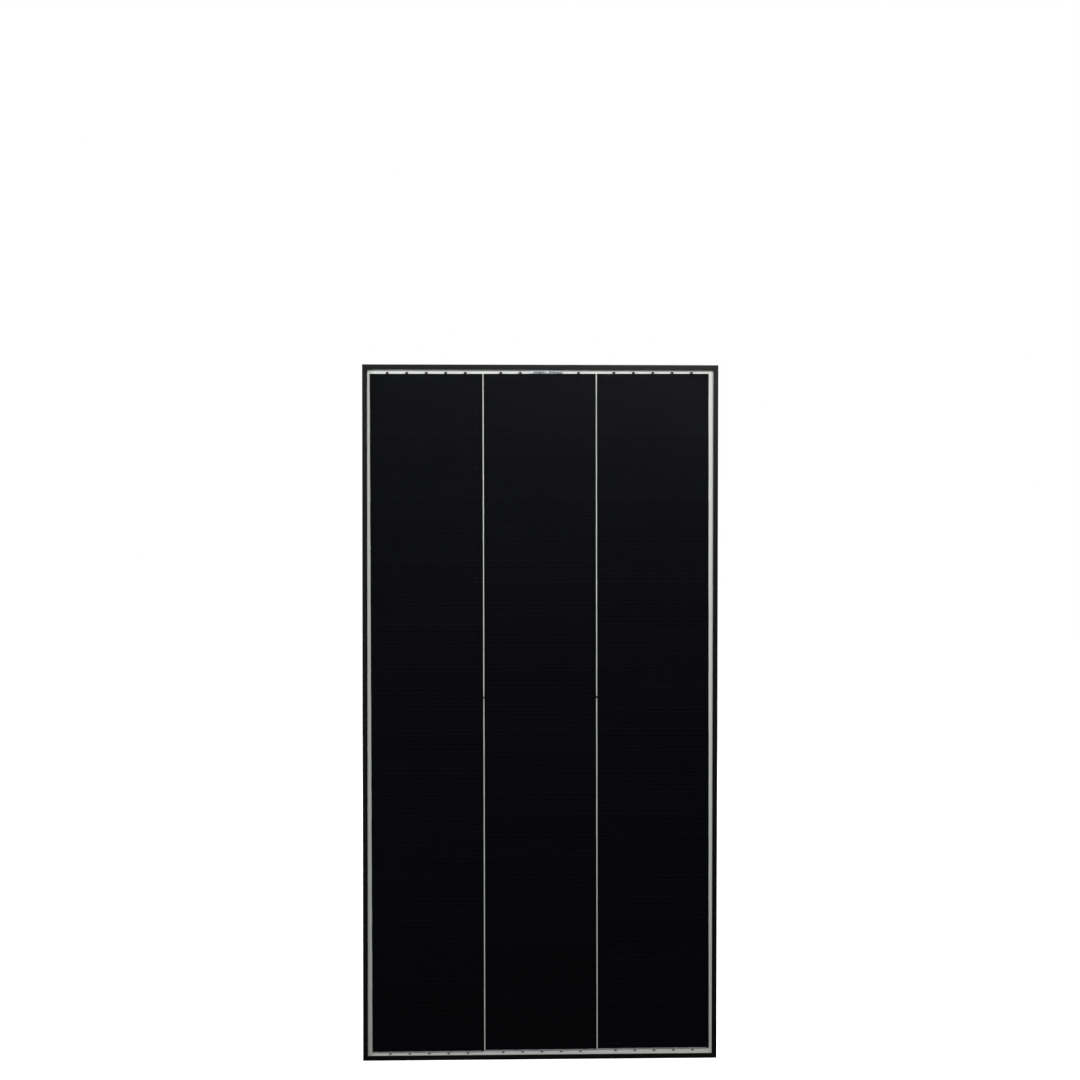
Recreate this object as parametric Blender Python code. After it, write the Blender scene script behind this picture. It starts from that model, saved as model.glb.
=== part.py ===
"""Framed solar panel with three strings of shingled cells, standing upright.

Metres, +Z up, +X to the right as the glass is looked at, and the glass faces -Y.
The origin is the centre of the four mounting slots, in the plane of the frame's rear flanges.
"""

import math

import bmesh
import bpy
from mathutils import Vector

# Whole panel
PANEL_WIDTH = 0.503
PANEL_HEIGHT = 0.986
FRAME_DEPTH = 0.030

# Frame extrusion
SIDE_WALL = 0.0013
LIP_WIDTH = 0.0070
LIP_THICKNESS = 0.0014
LIP_FLAT_WIDTH = 0.0064
LIP_EDGE_THICKNESS = 0.0008
LIP_CORNER_RADIUS = 0.0009
CHAMBER_WIDTH = 0.0072
CHAMBER_WALL = 0.0013
FLANGE_THICKNESS = 0.0015
LONG_FLANGE_WIDTH = 0.0250
SHORT_FLANGE_WIDTH = 0.0190
REAR_EDGE_CHAMFER = 0.0004
MITRE_GAP = 0.0001

# Corner keys, pressed into the ends of the chambers
KEY_CLEARANCE = 0.0003
KEY_ARM_LENGTH = 0.030
KEY_BARB_DEPTH = 0.00022
KEY_BARBS = 4

# Holes in the rear flanges
MOUNTING_SLOT_SPACING = 0.600
MOUNTING_SLOT_WIDTH = 0.008
MOUNTING_SLOT_LENGTH = 0.012
GROUND_HOLE_DIAMETER = 0.0042
GROUND_HOLE_HEIGHT = 0.060
DRAIN_SLOT_WIDTH = 0.0035
DRAIN_SLOT_LENGTH = 0.009
DRAIN_SLOT_INSET = 0.055

# Laminate, front to back
LAYER_GAP = 0.00005
SEAL_LEG_THICKNESS = 0.0005
SEAL_LEG_LENGTH = 0.0038
SEAL_WEB_THICKNESS = 0.0008
GLASS_THICKNESS = 0.0032
ENCAPSULANT_THICKNESS = 0.00045
CELL_THICKNESS = 0.00020
SHINGLE_STEP = 0.00025
TAB_THICKNESS = 0.00015
BUS_THICKNESS = 0.00025
INSULATION_THICKNESS = 0.00015
BACKSHEET_THICKNESS = 0.0003
LABEL_THICKNESS = 0.0001

# Cell strings
STRINGS = ("left", "centre", "right")
CELL_LENGTH = 0.15875
STRIPS_PER_CELL = 5
STRIP_OVERLAP = 0.00177
ARRAY_END_MARGIN = 0.012
STRING_GAP = 0.0014
LAYUP_TURN_DEG = -0.15

# Ribbons on the strings
TAB_COUNT = 5
TAB_PITCH = 0.0275
TAB_WIDTH = 0.0028
TOP_TAB_REACH = 0.0027
BOTTOM_TAB_REACH = 0.0036
TOP_COMB_HEIGHT = 0.0025
BOTTOM_COMB_HEIGHT = 0.0035
COMB_END_INSET = 0.0015
BUS_WIDTH = 0.005
BUS_SETBACK = 0.004
TAP_BAR_WIDTH = 0.003
TAP_BAR_HEIGHT_ABOVE_CENTRE = 0.0222
LEAD_WIDTH = 0.005
INSULATION_SIDE_MARGIN = 0.0025

# Labels
BARCODE_WIDTH = 0.0474
BARCODE_CENTRE_X = 0.0083
BARCODE_CLEARANCE = 0.0004
RATING_LABEL_WIDTH = 0.100
RATING_LABEL_HEIGHT = 0.066
RATING_LABEL_CENTRE_X = 0.132

# Junction box
BOX_WIDTH = 0.112
BOX_HEIGHT = 0.076
BOX_CENTRE_BELOW_TOP = 0.1090
BOX_CORNER_RADIUS = 0.005
BOX_WALL = 0.002
BOX_FLOOR = 0.002
ADHESIVE_THICKNESS = 0.001
ADHESIVE_INSET = 0.001
LID_PLATE = 0.002
LID_SETBACK = 0.0022
LID_LIP_DEPTH = 0.003
LID_LIP_THICKNESS = 0.0012
LID_LIP_CLEARANCE = 0.0004
GASKET_WIDTH = 0.0014
GASKET_THICKNESS = 0.0008
LEAD_SLOT_ABOVE_CENTRE = 0.008
LEAD_SLOT_MARGIN = 0.003

# Lid hinge and latch
HINGE_PIN_RADIUS = 0.0010
HINGE_BORE_RADIUS = 0.0012
KNUCKLE_RADIUS = 0.0027
HINGE_STANDOFF = 0.0031
KNUCKLE_CENTRE_X = 0.028
LID_KNUCKLE_WIDTH = 0.010
BASE_KNUCKLE_WIDTH = 0.006
KNUCKLE_SIDE_GAP = 0.0003
BASE_WEB_REACH = 0.95
LATCH_WIDTH = 0.014
LATCH_THICKNESS = 0.0015
LATCH_CLEARANCE = 0.0005
LATCH_LENGTH = 0.0085
LATCH_WINDOW = (0.008, 0.003)
LATCH_NUB_HEIGHT = 0.00035
LATCH_NUB_CLEARANCE = 0.0003

# Terminals, diodes and clamp screws in the box
TERMINAL_PITCH = 0.030
TERMINAL_WIDTH = 0.022
TERMINAL_THICKNESS = 0.0008
TERMINAL_LIFT = 0.0015
TERMINAL_TOP_ABOVE_CENTRE = 0.002
TERMINAL_LENGTH = 0.026
LEAD_LANDING = 0.006
SCREW_OFFSET_X = 0.004
SCREW_BELOW_CENTRE = 0.016
SCREW_SHANK_RADIUS = 0.0017
SCREW_HEAD_RADIUS = 0.0035
SCREW_HEAD_HEIGHT = 0.0022
SCREW_LENGTH = 0.0035
SCREW_CLEARANCE = 0.0003
SCREW_DRIVE = (0.0040, 0.0009, 0.0012)
WASHER_SIDE = 0.008
WASHER_THICKNESS = 0.0008
BOSS_RADIUS = 0.0037
DIODE_RADIUS = 0.0026
DIODE_LENGTH = 0.009
DIODE_WIRE = 0.0010
DIODE_BELOW_CENTRE = 0.008
DIODE_LIFT = 0.0034
DIODE_SPAN = 0.0170
DIODE_FOOT = 0.002

# Cable glands
GLAND_SPACING = 0.060
GLAND_AXIS_Y = -0.0130
COLLAR_RADIUS = 0.0075
COLLAR_LENGTH = 0.0025
SPIGOT_RADIUS = 0.0058
SPIGOT_LENGTH = 0.0145
CABLE_BORE_RADIUS = 0.0036
SEAL_OUTER_RADIUS = 0.0047
SEAL_BORE_RADIUS = 0.0033
SEAL_LENGTH = 0.0078
SEAL_CLEARANCE = 0.0002
NUT_FLAT_WALL = 0.00115
NUT_THREAD_CLEARANCE = 0.0003
NUT_END_WALL = 0.002
NUT_COLLAR_GAP = 0.0005
SLIP_RING_THICKNESS = 0.0012
SLIP_RING_SIDE_CLEARANCE = 0.0003
PART_GAP = 0.0001

# Facets of round pieces
FINE_SEGMENTS = 32
HOLE_SEGMENTS = 20
CORNER_SEGMENTS = 4

# Worked out from the sizes above
half_width = PANEL_WIDTH / 2
half_height = PANEL_HEIGHT / 2
strip_height = CELL_LENGTH / STRIPS_PER_CELL
strip_pitch = strip_height - STRIP_OVERLAP
strips_per_string = 1 + int((PANEL_HEIGHT - 2 * ARRAY_END_MARGIN - strip_height) / strip_pitch)
string_height = (strips_per_string - 1) * strip_pitch + strip_height
string_pitch = CELL_LENGTH + STRING_GAP
string_x = {name: (i - 1) * string_pitch for i, name in enumerate(STRINGS)}
array_half_width = string_pitch + CELL_LENGTH / 2
array_top = string_height / 2
array_bottom = -array_top
chamber_outer = SIDE_WALL + CHAMBER_WIDTH + CHAMBER_WALL
laminate_inset = SIDE_WALL + LAYER_GAP + SEAL_WEB_THICKNESS + LAYER_GAP
slot_centre_inset = (chamber_outer + LONG_FLANGE_WIDTH) / 2


def stack_layers():
    """Front and rear y of each layer, from the lip's inner face backwards."""
    layers = (
        ("seal_front", SEAL_LEG_THICKNESS),
        ("glass", GLASS_THICKNESS),
        ("front_encapsulant", ENCAPSULANT_THICKNESS),
        ("cells", CELL_THICKNESS + SHINGLE_STEP),
        ("tabs", TAB_THICKNESS),
        ("bus", BUS_THICKNESS),
        ("insulation", INSULATION_THICKNESS),
        ("leads", BUS_THICKNESS),
        ("rear_encapsulant", ENCAPSULANT_THICKNESS),
        ("backsheet", BACKSHEET_THICKNESS),
        ("seal_rear", SEAL_LEG_THICKNESS),
    )
    y = -FRAME_DEPTH + LIP_THICKNESS
    found = {}
    for name, thickness in layers:
        y += LAYER_GAP
        found[name] = (y, y + thickness)
        y += thickness
    return found, y + LAYER_GAP


layer, channel_rear = stack_layers()
box_centre_z = half_height - BOX_CENTRE_BELOW_TOP
box_front = layer["backsheet"][1] + LAYER_GAP + ADHESIVE_THICKNESS + LAYER_GAP
lid_outer_y = -LID_SETBACK
lid_inner_y = lid_outer_y - LID_PLATE
box_rim = lid_inner_y - GASKET_THICKNESS - 2 * LAYER_GAP
box_floor_y = box_front + BOX_FLOOR
box_bottom = box_centre_z - BOX_HEIGHT / 2
box_top = box_centre_z + BOX_HEIGHT / 2
lead_slot_z = box_centre_z + LEAD_SLOT_ABOVE_CENTRE
terminal_y = box_floor_y + TERMINAL_LIFT
terminal_face = terminal_y + TERMINAL_THICKNESS
hinge_y = lid_inner_y - PART_GAP
hinge_z = box_top + HINGE_STANDOFF


# Materials


def material(name, colour, roughness=0.5, metallic=0.0, alpha=1.0):
    made = bpy.data.materials.new(name)
    made.use_nodes = True
    shader = made.node_tree.nodes["Principled BSDF"]
    shader.inputs["Base Color"].default_value = (*colour, 1.0)
    shader.inputs["Roughness"].default_value = roughness
    shader.inputs["Metallic"].default_value = metallic
    shader.inputs["Alpha"].default_value = alpha
    made.diffuse_color = (*colour, alpha)
    return made


def make_materials():
    return {
        "anodised": material("black_anodised", (0.018, 0.018, 0.019), 0.42, 0.6),
        "cast": material("cast_aluminium", (0.55, 0.55, 0.56), 0.5, 1.0),
        "rubber": material("black_rubber", (0.02, 0.02, 0.02), 0.8),
        "glass": material("solar_glass", (0.8, 0.86, 0.84), 0.08, 0.0, 0.2),
        "clear": material("clear_encapsulant", (0.85, 0.87, 0.85), 0.2, 0.0, 0.2),
        "white": material("white_encapsulant", (0.74, 0.75, 0.72), 0.5),
        "backsheet": material("white_backsheet", (0.80, 0.81, 0.80), 0.45),
        "silicon": material("dark_silicon", (0.006, 0.007, 0.012), 0.3),
        "black_ribbon": material("black_ribbon", (0.012, 0.012, 0.013), 0.5),
        "tinned": material("tinned_copper", (0.62, 0.62, 0.60), 0.35, 1.0),
        "insulation": material("insulation_film", (0.78, 0.78, 0.76), 0.6),
        "paper": material("label_paper", (0.82, 0.83, 0.86), 0.5),
        "silicone": material("white_silicone", (0.70, 0.70, 0.68), 0.6),
        "plastic": material("black_moulding", (0.022, 0.022, 0.023), 0.5),
        "steel": material("plated_steel", (0.60, 0.60, 0.60), 0.3, 1.0),
        "diode": material("diode_epoxy", (0.03, 0.03, 0.03), 0.4),
    }


# Building blocks


def object_from(name, bm, finish):
    bmesh.ops.recalc_face_normals(bm, faces=bm.faces)
    mesh = bpy.data.meshes.new(name)
    bm.to_mesh(mesh)
    bm.free()
    made = bpy.data.objects.new(name, mesh)
    bpy.context.scene.collection.objects.link(made)
    if finish:
        mesh.materials.append(finish)
    return made


def add_prism(bm, loops, low, high):
    """One closed body between two caps. The first loop is the outline and the others are holes;
    low and high place a point (a, b) of a loop on the one cap and on the other."""
    ends = [[[bm.verts.new(place(a, b)) for a, b in loop] for loop in loops] for place in (low, high)]
    for low_loop, high_loop in zip(*ends):
        for i, corner in enumerate(low_loop):
            j = (i + 1) % len(low_loop)
            bm.faces.new((corner, low_loop[j], high_loop[j], high_loop[i]))
    for end in ends:
        edges = [bm.edges.get((loop[i - 1], loop[i])) for loop in end for i in range(len(loop))]
        bmesh.ops.triangle_fill(bm, use_beauty=True, edges=edges)


def prism(name, loops, low, high, finish=None):
    bm = bmesh.new()
    add_prism(bm, loops, low, high)
    return object_from(name, bm, finish)


def facing(y):
    """Places (x, z) in a plane of that y."""
    return lambda x, z: Vector((x, y, z))


def level(z):
    """Places (x, y) in a plane of that z."""
    return lambda x, y: Vector((x, y, z))


def across(x):
    """Places (y, z) in a plane of that x."""
    return lambda y, z: Vector((x, y, z))


def rectangle(x0, x1, z0, z1):
    return [(x0, z0), (x1, z0), (x1, z1), (x0, z1)]


def circle(cx, cz, radius, segments=FINE_SEGMENTS):
    turns = [2 * math.pi * i / segments for i in range(segments)]
    return [(cx + radius * math.cos(t), cz + radius * math.sin(t)) for t in turns]


def rounded_rectangle(cx, cz, width, height, radius):
    points = []
    for corner in range(4):
        sx = (1, -1, -1, 1)[corner]
        sz = (1, 1, -1, -1)[corner]
        for i in range(CORNER_SEGMENTS + 1):
            t = math.pi / 2 * (corner + i / CORNER_SEGMENTS)
            points.append(
                (
                    cx + sx * (width / 2 - radius) + radius * math.cos(t),
                    cz + sz * (height / 2 - radius) + radius * math.sin(t),
                )
            )
    return points


def slot(cx, cz, width, length, along_z):
    """Round-ended slot."""
    points = []
    reach = (length - width) / 2
    half = HOLE_SEGMENTS // 2
    for end in (1, -1):
        for i in range(half + 1):
            t = math.pi * (i / half) + (0 if end == 1 else math.pi)
            a = width / 2 * math.cos(t)
            b = end * reach + width / 2 * math.sin(t)
            points.append((cx + a, cz + b) if along_z else (cx - b, cz + a))
    return points


def box(name, low, high, finish=None):
    (x0, y0, z0), (x1, y1, z1) = low, high
    return prism(name, [rectangle(x0, x1, z0, z1)], facing(y0), facing(y1), finish)


def strip_outline(points, thickness):
    """Outline of a bent strip of even thickness whose middle line runs through the points."""
    left, right = [], []
    path = [Vector(p) for p in points]
    for i, point in enumerate(path):
        before = (point - path[i - 1]).normalized() if i else (path[1] - point).normalized()
        after = (path[i + 1] - point).normalized() if i + 1 < len(path) else before
        normal_before = Vector((-before.y, before.x))
        normal_after = Vector((-after.y, after.x))
        middle = (normal_before + normal_after).normalized()
        offset = middle * (thickness / 2 / middle.dot(normal_after))
        left.append(tuple(point + offset))
        right.append(tuple(point - offset))
    return left + right[::-1]


def helper(made):
    """A cutter or an added shape, which is no node of its own."""
    made.hide_render = True
    made.display_type = "WIRE"
    return made


def combine(target, other, operation):
    modifier = target.modifiers.new(f"{operation.lower()}_{other.name}", "BOOLEAN")
    modifier.operation = operation
    modifier.object = helper(other)
    return target


def smooth(made, degrees=30):
    made.data.shade_smooth()
    made.data.set_sharp_from_angle(angle=math.radians(degrees))
    return made


# Frame


def rail_profile(flange_width):
    """Section of the extrusion: distance inwards from the panel's edge, and y."""
    lip_inner = -FRAME_DEPTH + LIP_THICKNESS
    rounding = [
        (
            LIP_CORNER_RADIUS * (1 - math.cos(math.pi / 2 * i / CORNER_SEGMENTS)),
            -FRAME_DEPTH + LIP_CORNER_RADIUS * (1 - math.sin(math.pi / 2 * i / CORNER_SEGMENTS)),
        )
        for i in range(CORNER_SEGMENTS + 1)
    ]
    outline = [
        (REAR_EDGE_CHAMFER, 0.0),
        (flange_width, 0.0),
        (flange_width, -FLANGE_THICKNESS),
        (chamber_outer, -FLANGE_THICKNESS),
        (chamber_outer, channel_rear),
        (SIDE_WALL, channel_rear),
        (SIDE_WALL, lip_inner),
        (LIP_WIDTH, lip_inner),
        (LIP_WIDTH, lip_inner - LIP_EDGE_THICKNESS),
        (LIP_FLAT_WIDTH, -FRAME_DEPTH),
        *rounding[::-1],
        (0.0, -REAR_EDGE_CHAMFER),
    ]
    chamber = [
        (SIDE_WALL, -FLANGE_THICKNESS),
        (SIDE_WALL + CHAMBER_WIDTH, -FLANGE_THICKNESS),
        (SIDE_WALL + CHAMBER_WIDTH, channel_rear + CHAMBER_WALL),
        (SIDE_WALL, channel_rear + CHAMBER_WALL),
    ]
    return [outline, chamber]


def rail(name, flange_width, side, upright, finish):
    """A rail with both ends cut at 45 degrees: its end recedes by as much as the point lies inwards."""
    half_length = half_height if upright else half_width
    edge = half_width if upright else half_height

    def end(sign):
        def place(inwards, y):
            along = sign * (half_length - inwards - MITRE_GAP)
            out = side * (edge - inwards)
            return Vector((out, y, along)) if upright else Vector((along, y, out))

        return place

    return prism(name, rail_profile(flange_width), end(-1), end(1), finish)


def holes_cutter(name, outlines):
    """Straight cutters through the rear flange, one for each outline."""
    bm = bmesh.new()
    for outline in outlines:
        add_prism(bm, [outline], facing(-2 * FLANGE_THICKNESS), facing(FLANGE_THICKNESS))
    return object_from(name, bm, None)


def make_frame(finish):
    for name, side in (("left", -1), ("right", 1)):
        x = side * (half_width - slot_centre_inset)
        slots = [
            slot(x, z, MOUNTING_SLOT_WIDTH, MOUNTING_SLOT_LENGTH, True)
            for z in (-MOUNTING_SLOT_SPACING / 2, MOUNTING_SLOT_SPACING / 2)
        ]
        ground = circle(x, GROUND_HOLE_HEIGHT, GROUND_HOLE_DIAMETER / 2, HOLE_SEGMENTS)
        made = rail(f"frame_rail_{name}", LONG_FLANGE_WIDTH, side, True, finish)
        combine(made, holes_cutter(f"slots_{name}", [*slots, ground]), "DIFFERENCE")
    for name, side in (("bottom", -1), ("top", 1)):
        z = side * (half_height - (chamber_outer + SHORT_FLANGE_WIDTH) / 2)
        drains = [
            slot(sign * (half_width - DRAIN_SLOT_INSET), z, DRAIN_SLOT_WIDTH, DRAIN_SLOT_LENGTH, False)
            for sign in (-1, 1)
        ]
        made = rail(f"frame_rail_{name}", SHORT_FLANGE_WIDTH, side, False, finish)
        combine(made, holes_cutter(f"drains_{name}", drains), "DIFFERENCE")


def key_outline(side_x, side_z):
    """L of a corner key in x and z, with barbs along the outside of both arms."""
    inner = SIDE_WALL + CHAMBER_WIDTH - KEY_CLEARANCE
    outer = SIDE_WALL + KEY_CLEARANCE
    tip = outer + KEY_ARM_LENGTH
    start = inner + KEY_BARB_DEPTH
    step = (tip - start) / KEY_BARBS
    barbed = []
    for i in range(KEY_BARBS):
        barbed.append((start + i * step, inner - KEY_BARB_DEPTH))
        barbed.append((start + (i + 1) * step, inner))
    arm = [(outer, outer), (tip, outer), *reversed(barbed)]
    mirrored = [(b, a) for a, b in reversed(arm)][:-1]
    corner = [(inner - KEY_BARB_DEPTH, inner - KEY_BARB_DEPTH)]
    points = arm[:-1] + corner + mirrored[1:]
    return [(side_x * (half_width - a), side_z * (half_height - b)) for a, b in points]


def make_corner_keys(finish):
    front = channel_rear + CHAMBER_WALL + KEY_CLEARANCE
    rear = -FLANGE_THICKNESS - KEY_CLEARANCE
    for vertical, side_z in (("top", 1), ("bottom", -1)):
        for horizontal, side_x in (("left", -1), ("right", 1)):
            outline = key_outline(side_x, side_z)
            prism(f"corner_key_{vertical}_{horizontal}", [outline], facing(front), facing(rear), finish)


# Laminate


def make_edge_seal(finish):
    """U-shaped rubber ring round the laminate: a square ring swept with mitred corners."""
    outer = SIDE_WALL + LAYER_GAP
    web = outer + SEAL_WEB_THICKNESS
    tip = web + SEAL_LEG_LENGTH
    section = [
        (outer, layer["seal_front"][0]),
        (tip, layer["seal_front"][0]),
        (tip, layer["seal_front"][1]),
        (web, layer["seal_front"][1]),
        (web, layer["seal_rear"][0]),
        (tip, layer["seal_rear"][0]),
        (tip, layer["seal_rear"][1]),
        (outer, layer["seal_rear"][1]),
    ]
    bm = bmesh.new()
    corners = [
        [bm.verts.new((sx * (half_width - u), y, sz * (half_height - u))) for u, y in section]
        for sx, sz in ((1, 1), (-1, 1), (-1, -1), (1, -1))
    ]
    for i, ring in enumerate(corners):
        following = corners[(i + 1) % len(corners)]
        for j in range(len(section)):
            k = (j + 1) % len(section)
            bm.faces.new((ring[j], ring[k], following[k], following[j]))
    object_from("edge_seal", bm, finish)


def sheet(name, depth, finish, holes=()):
    """A full-size layer of the laminate."""
    outline = rectangle(
        laminate_inset - half_width,
        half_width - laminate_inset,
        laminate_inset - half_height,
        half_height - laminate_inset,
    )
    return prism(name, [outline, *holes], facing(depth[0]), facing(depth[1]), finish)


def string_section():
    """(y, z) outline of a shingled string: each strip leans back, and its foot is behind the next."""
    front = layer["cells"][0]
    faces, backs = [], []
    for i in range(strips_per_string):
        top = array_top - i * strip_pitch
        last = i + 1 == strips_per_string
        covered = top - (strip_height if last else strip_pitch)
        lean = SHINGLE_STEP * (top - covered) / strip_height
        faces += [(front, top), (front + lean, covered)]
        bare = top if i == 0 else top - STRIP_OVERLAP
        lean_at_bare = SHINGLE_STEP * (top - bare) / strip_height
        bottom = top - strip_height
        back = front + CELL_THICKNESS
        backs += [(back + lean_at_bare, bare), (back + SHINGLE_STEP, bottom)]
    return faces + backs[::-1]


def tab_strips(name, centre_x, profile):
    """The folded tabs of a comb, all with the same (y, z) profile."""
    bm = bmesh.new()
    for i in range(TAB_COUNT):
        x = centre_x + (i - (TAB_COUNT - 1) / 2) * TAB_PITCH
        add_prism(bm, [profile], across(x - TAB_WIDTH / 2), across(x + TAB_WIDTH / 2))
    return object_from(name, bm, None)


def make_top_comb(name, centre_x, finish):
    """Ribbon behind the first strip's top edge. Its tabs rise past it and fold back to the bus bar."""
    lean = SHINGLE_STEP * TOP_COMB_HEIGHT / strip_height
    front = layer["cells"][0] + CELL_THICKNESS + lean + LAYER_GAP
    middle = front + TAB_THICKNESS / 2
    rear = sum(layer["tabs"]) / 2
    crest = array_top + TOP_TAB_REACH - TAB_THICKNESS / 2
    foot = array_top - BUS_SETBACK - BUS_WIDTH / 2
    bar = box(
        f"top_comb_{name}",
        (centre_x - CELL_LENGTH / 2 + COMB_END_INSET, front, array_top - TOP_COMB_HEIGHT),
        (centre_x + CELL_LENGTH / 2 - COMB_END_INSET, front + TAB_THICKNESS, array_top),
        finish,
    )
    base = array_top - TOP_COMB_HEIGHT / 2
    profile = strip_outline([(middle, base), (middle, crest), (rear, crest), (rear, foot)], TAB_THICKNESS)
    return combine(bar, tab_strips(f"top_tabs_{name}", centre_x, profile), "UNION")


def make_bottom_comb(name, centre_x, finish):
    """Ribbon on the last strip's bottom edge. Its tabs wrap round the edge to the bus bar behind."""
    front = layer["cells"][0]
    middle = front + TAB_THICKNESS / 2
    rear = sum(layer["tabs"]) / 2
    crest = array_bottom - BOTTOM_TAB_REACH + TAB_THICKNESS / 2
    foot = array_bottom + BUS_SETBACK + BUS_WIDTH / 2
    bar = box(
        f"bottom_comb_{name}",
        (centre_x - CELL_LENGTH / 2 + COMB_END_INSET, front, array_bottom),
        (
            centre_x + CELL_LENGTH / 2 - COMB_END_INSET,
            front + TAB_THICKNESS,
            array_bottom + BOTTOM_COMB_HEIGHT,
        ),
        finish,
    )
    base = array_bottom + BOTTOM_COMB_HEIGHT / 2
    profile = strip_outline([(middle, base), (middle, crest), (rear, crest), (rear, foot)], TAB_THICKNESS)
    return combine(bar, tab_strips(f"bottom_tabs_{name}", centre_x, profile), "UNION")


def make_bus_bars(finishes):
    reach = array_half_width - COMB_END_INSET
    front, rear = layer["bus"]
    bars = (
        ("top_bus_bar", array_top - BUS_SETBACK - BUS_WIDTH / 2, BUS_WIDTH, "tinned"),
        ("centre_tap_bar", TAP_BAR_HEIGHT_ABOVE_CENTRE, TAP_BAR_WIDTH, "black_ribbon"),
        ("bottom_bus_bar", array_bottom + BUS_SETBACK + BUS_WIDTH / 2, BUS_WIDTH, "tinned"),
    )
    return [
        box(name, (-reach, front, z - width / 2), (reach, rear, z + width / 2), finishes[finish])
        for name, z, width, finish in bars
    ]


def make_cell_array(finishes):
    """Strings, combs and bus bars, which are laid on the glass together and so share its small turn."""
    array = bpy.data.objects.new("cell_array", None)
    bpy.context.scene.collection.objects.link(array)
    array.rotation_euler.y = math.radians(LAYUP_TURN_DEG)
    section = string_section()
    laid = make_bus_bars(finishes)
    for name in STRINGS:
        x = string_x[name]
        low, high = across(x - CELL_LENGTH / 2), across(x + CELL_LENGTH / 2)
        laid.append(prism(f"cell_string_{name}", [section], low, high, finishes["silicon"]))
        laid.append(make_top_comb(name, x, finishes["black_ribbon"]))
        laid.append(make_bottom_comb(name, x, finishes["black_ribbon"]))
    for made in laid:
        made.parent = array
        for modifier in made.modifiers:
            modifier.object.parent = array


def make_leads(finishes):
    """Ribbons from the bus bars to the box, and the film that keeps each off the cells."""
    run = sum(layer["leads"]) / 2
    landing = terminal_face + LAYER_GAP + BUS_THICKNESS / 2
    landing_end = box_centre_z + TERMINAL_TOP_ABOVE_CENTRE - LEAD_LANDING
    starts = {
        "top": array_top - BUS_SETBACK,
        "centre": TAP_BAR_HEIGHT_ABOVE_CENTRE - TAP_BAR_WIDTH / 2,
        "bottom": array_bottom + BUS_SETBACK,
    }
    film_front, film_rear = layer["insulation"]
    half_film = LEAD_WIDTH / 2 + INSULATION_SIDE_MARGIN
    for i, (name, start) in enumerate(starts.items()):
        x = (i - 1) * TERMINAL_PITCH
        path = [(run, start), (run, lead_slot_z), (landing, lead_slot_z), (landing, landing_end)]
        outline = strip_outline(path, BUS_THICKNESS)
        low, high = across(x - LEAD_WIDTH / 2), across(x + LEAD_WIDTH / 2)
        prism(f"lead_ribbon_{name}", [outline], low, high, finishes["tinned"])
        below = name != "top"
        bus_edge = start + (BUS_WIDTH if below else -BUS_WIDTH)
        passed = lead_slot_z + (half_film if below else -half_film)
        box(
            f"insulation_film_{name}",
            (x - half_film, film_front, min(bus_edge, passed)),
            (x + half_film, film_rear, max(bus_edge, passed)),
            finishes["insulation"],
        )


def lead_window(margin):
    """Rectangle round the three leads where they pass through to the box."""
    reach = TERMINAL_PITCH + LEAD_WIDTH / 2 + margin
    return rectangle(-reach, reach, lead_slot_z - margin, lead_slot_z + margin)


def make_laminate(finishes):
    make_edge_seal(finishes["rubber"])
    sheet("glass_pane", layer["glass"], finishes["glass"])
    sheet("front_encapsulant", layer["front_encapsulant"], finishes["clear"])
    make_cell_array(finishes)
    make_leads(finishes)
    window = [lead_window(LEAD_SLOT_MARGIN)]
    sheet("rear_encapsulant", layer["rear_encapsulant"], finishes["white"], window)
    sheet("backsheet", layer["backsheet"], finishes["backsheet"], window)


def make_labels(finish):
    front = layer["cells"][0]
    turn = abs(math.sin(math.radians(LAYUP_TURN_DEG))) * (abs(BARCODE_CENTRE_X) + BARCODE_WIDTH / 2)
    box(
        "barcode_label",
        (BARCODE_CENTRE_X - BARCODE_WIDTH / 2, front, array_top + turn + BARCODE_CLEARANCE),
        (BARCODE_CENTRE_X + BARCODE_WIDTH / 2, front + LABEL_THICKNESS, half_height - LIP_WIDTH),
        finish,
    )
    x, z = RATING_LABEL_CENTRE_X, box_centre_z
    rear = layer["backsheet"][1] + LAYER_GAP
    box(
        "rating_label",
        (x - RATING_LABEL_WIDTH / 2, rear, z - RATING_LABEL_HEIGHT / 2),
        (x + RATING_LABEL_WIDTH / 2, rear + LABEL_THICKNESS, z + RATING_LABEL_HEIGHT / 2),
        finish,
    )


# Junction box


def box_outline(inset):
    return rounded_rectangle(
        0, box_centre_z, BOX_WIDTH - 2 * inset, BOX_HEIGHT - 2 * inset, BOX_CORNER_RADIUS - inset / 2
    )


def knuckle(bm, centre_x, width, web_front, web_rear, foot_front, foot_z):
    """A hinge eye along x on a web that drops to foot_z. The web's rear face stands at web_rear, and its
    front face runs from web_front on the eye to foot_front at the foot."""

    def turn_at(y):
        return math.asin((y - hinge_y) / KNUCKLE_RADIUS) - math.pi / 2

    start, end = turn_at(web_rear), turn_at(web_front) + 2 * math.pi
    arc = []
    for i in range(FINE_SEGMENTS + 1):
        t = start + (end - start) * i / FINE_SEGMENTS
        arc.append((hinge_y + KNUCKLE_RADIUS * math.cos(t), hinge_z + KNUCKLE_RADIUS * math.sin(t)))
    outline = [*arc, (foot_front, foot_z), (web_rear, foot_z)]
    add_prism(bm, [outline], across(centre_x - width / 2), across(centre_x + width / 2))


def hinge_bore(name):
    reach = KNUCKLE_CENTRE_X + LID_KNUCKLE_WIDTH + BASE_KNUCKLE_WIDTH
    outline = circle(hinge_y, hinge_z, HINGE_BORE_RADIUS, HOLE_SEGMENTS)
    return prism(name, [outline], across(-reach), across(reach))


def gland_x():
    return (("left", -GLAND_SPACING / 2), ("right", GLAND_SPACING / 2))


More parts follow.
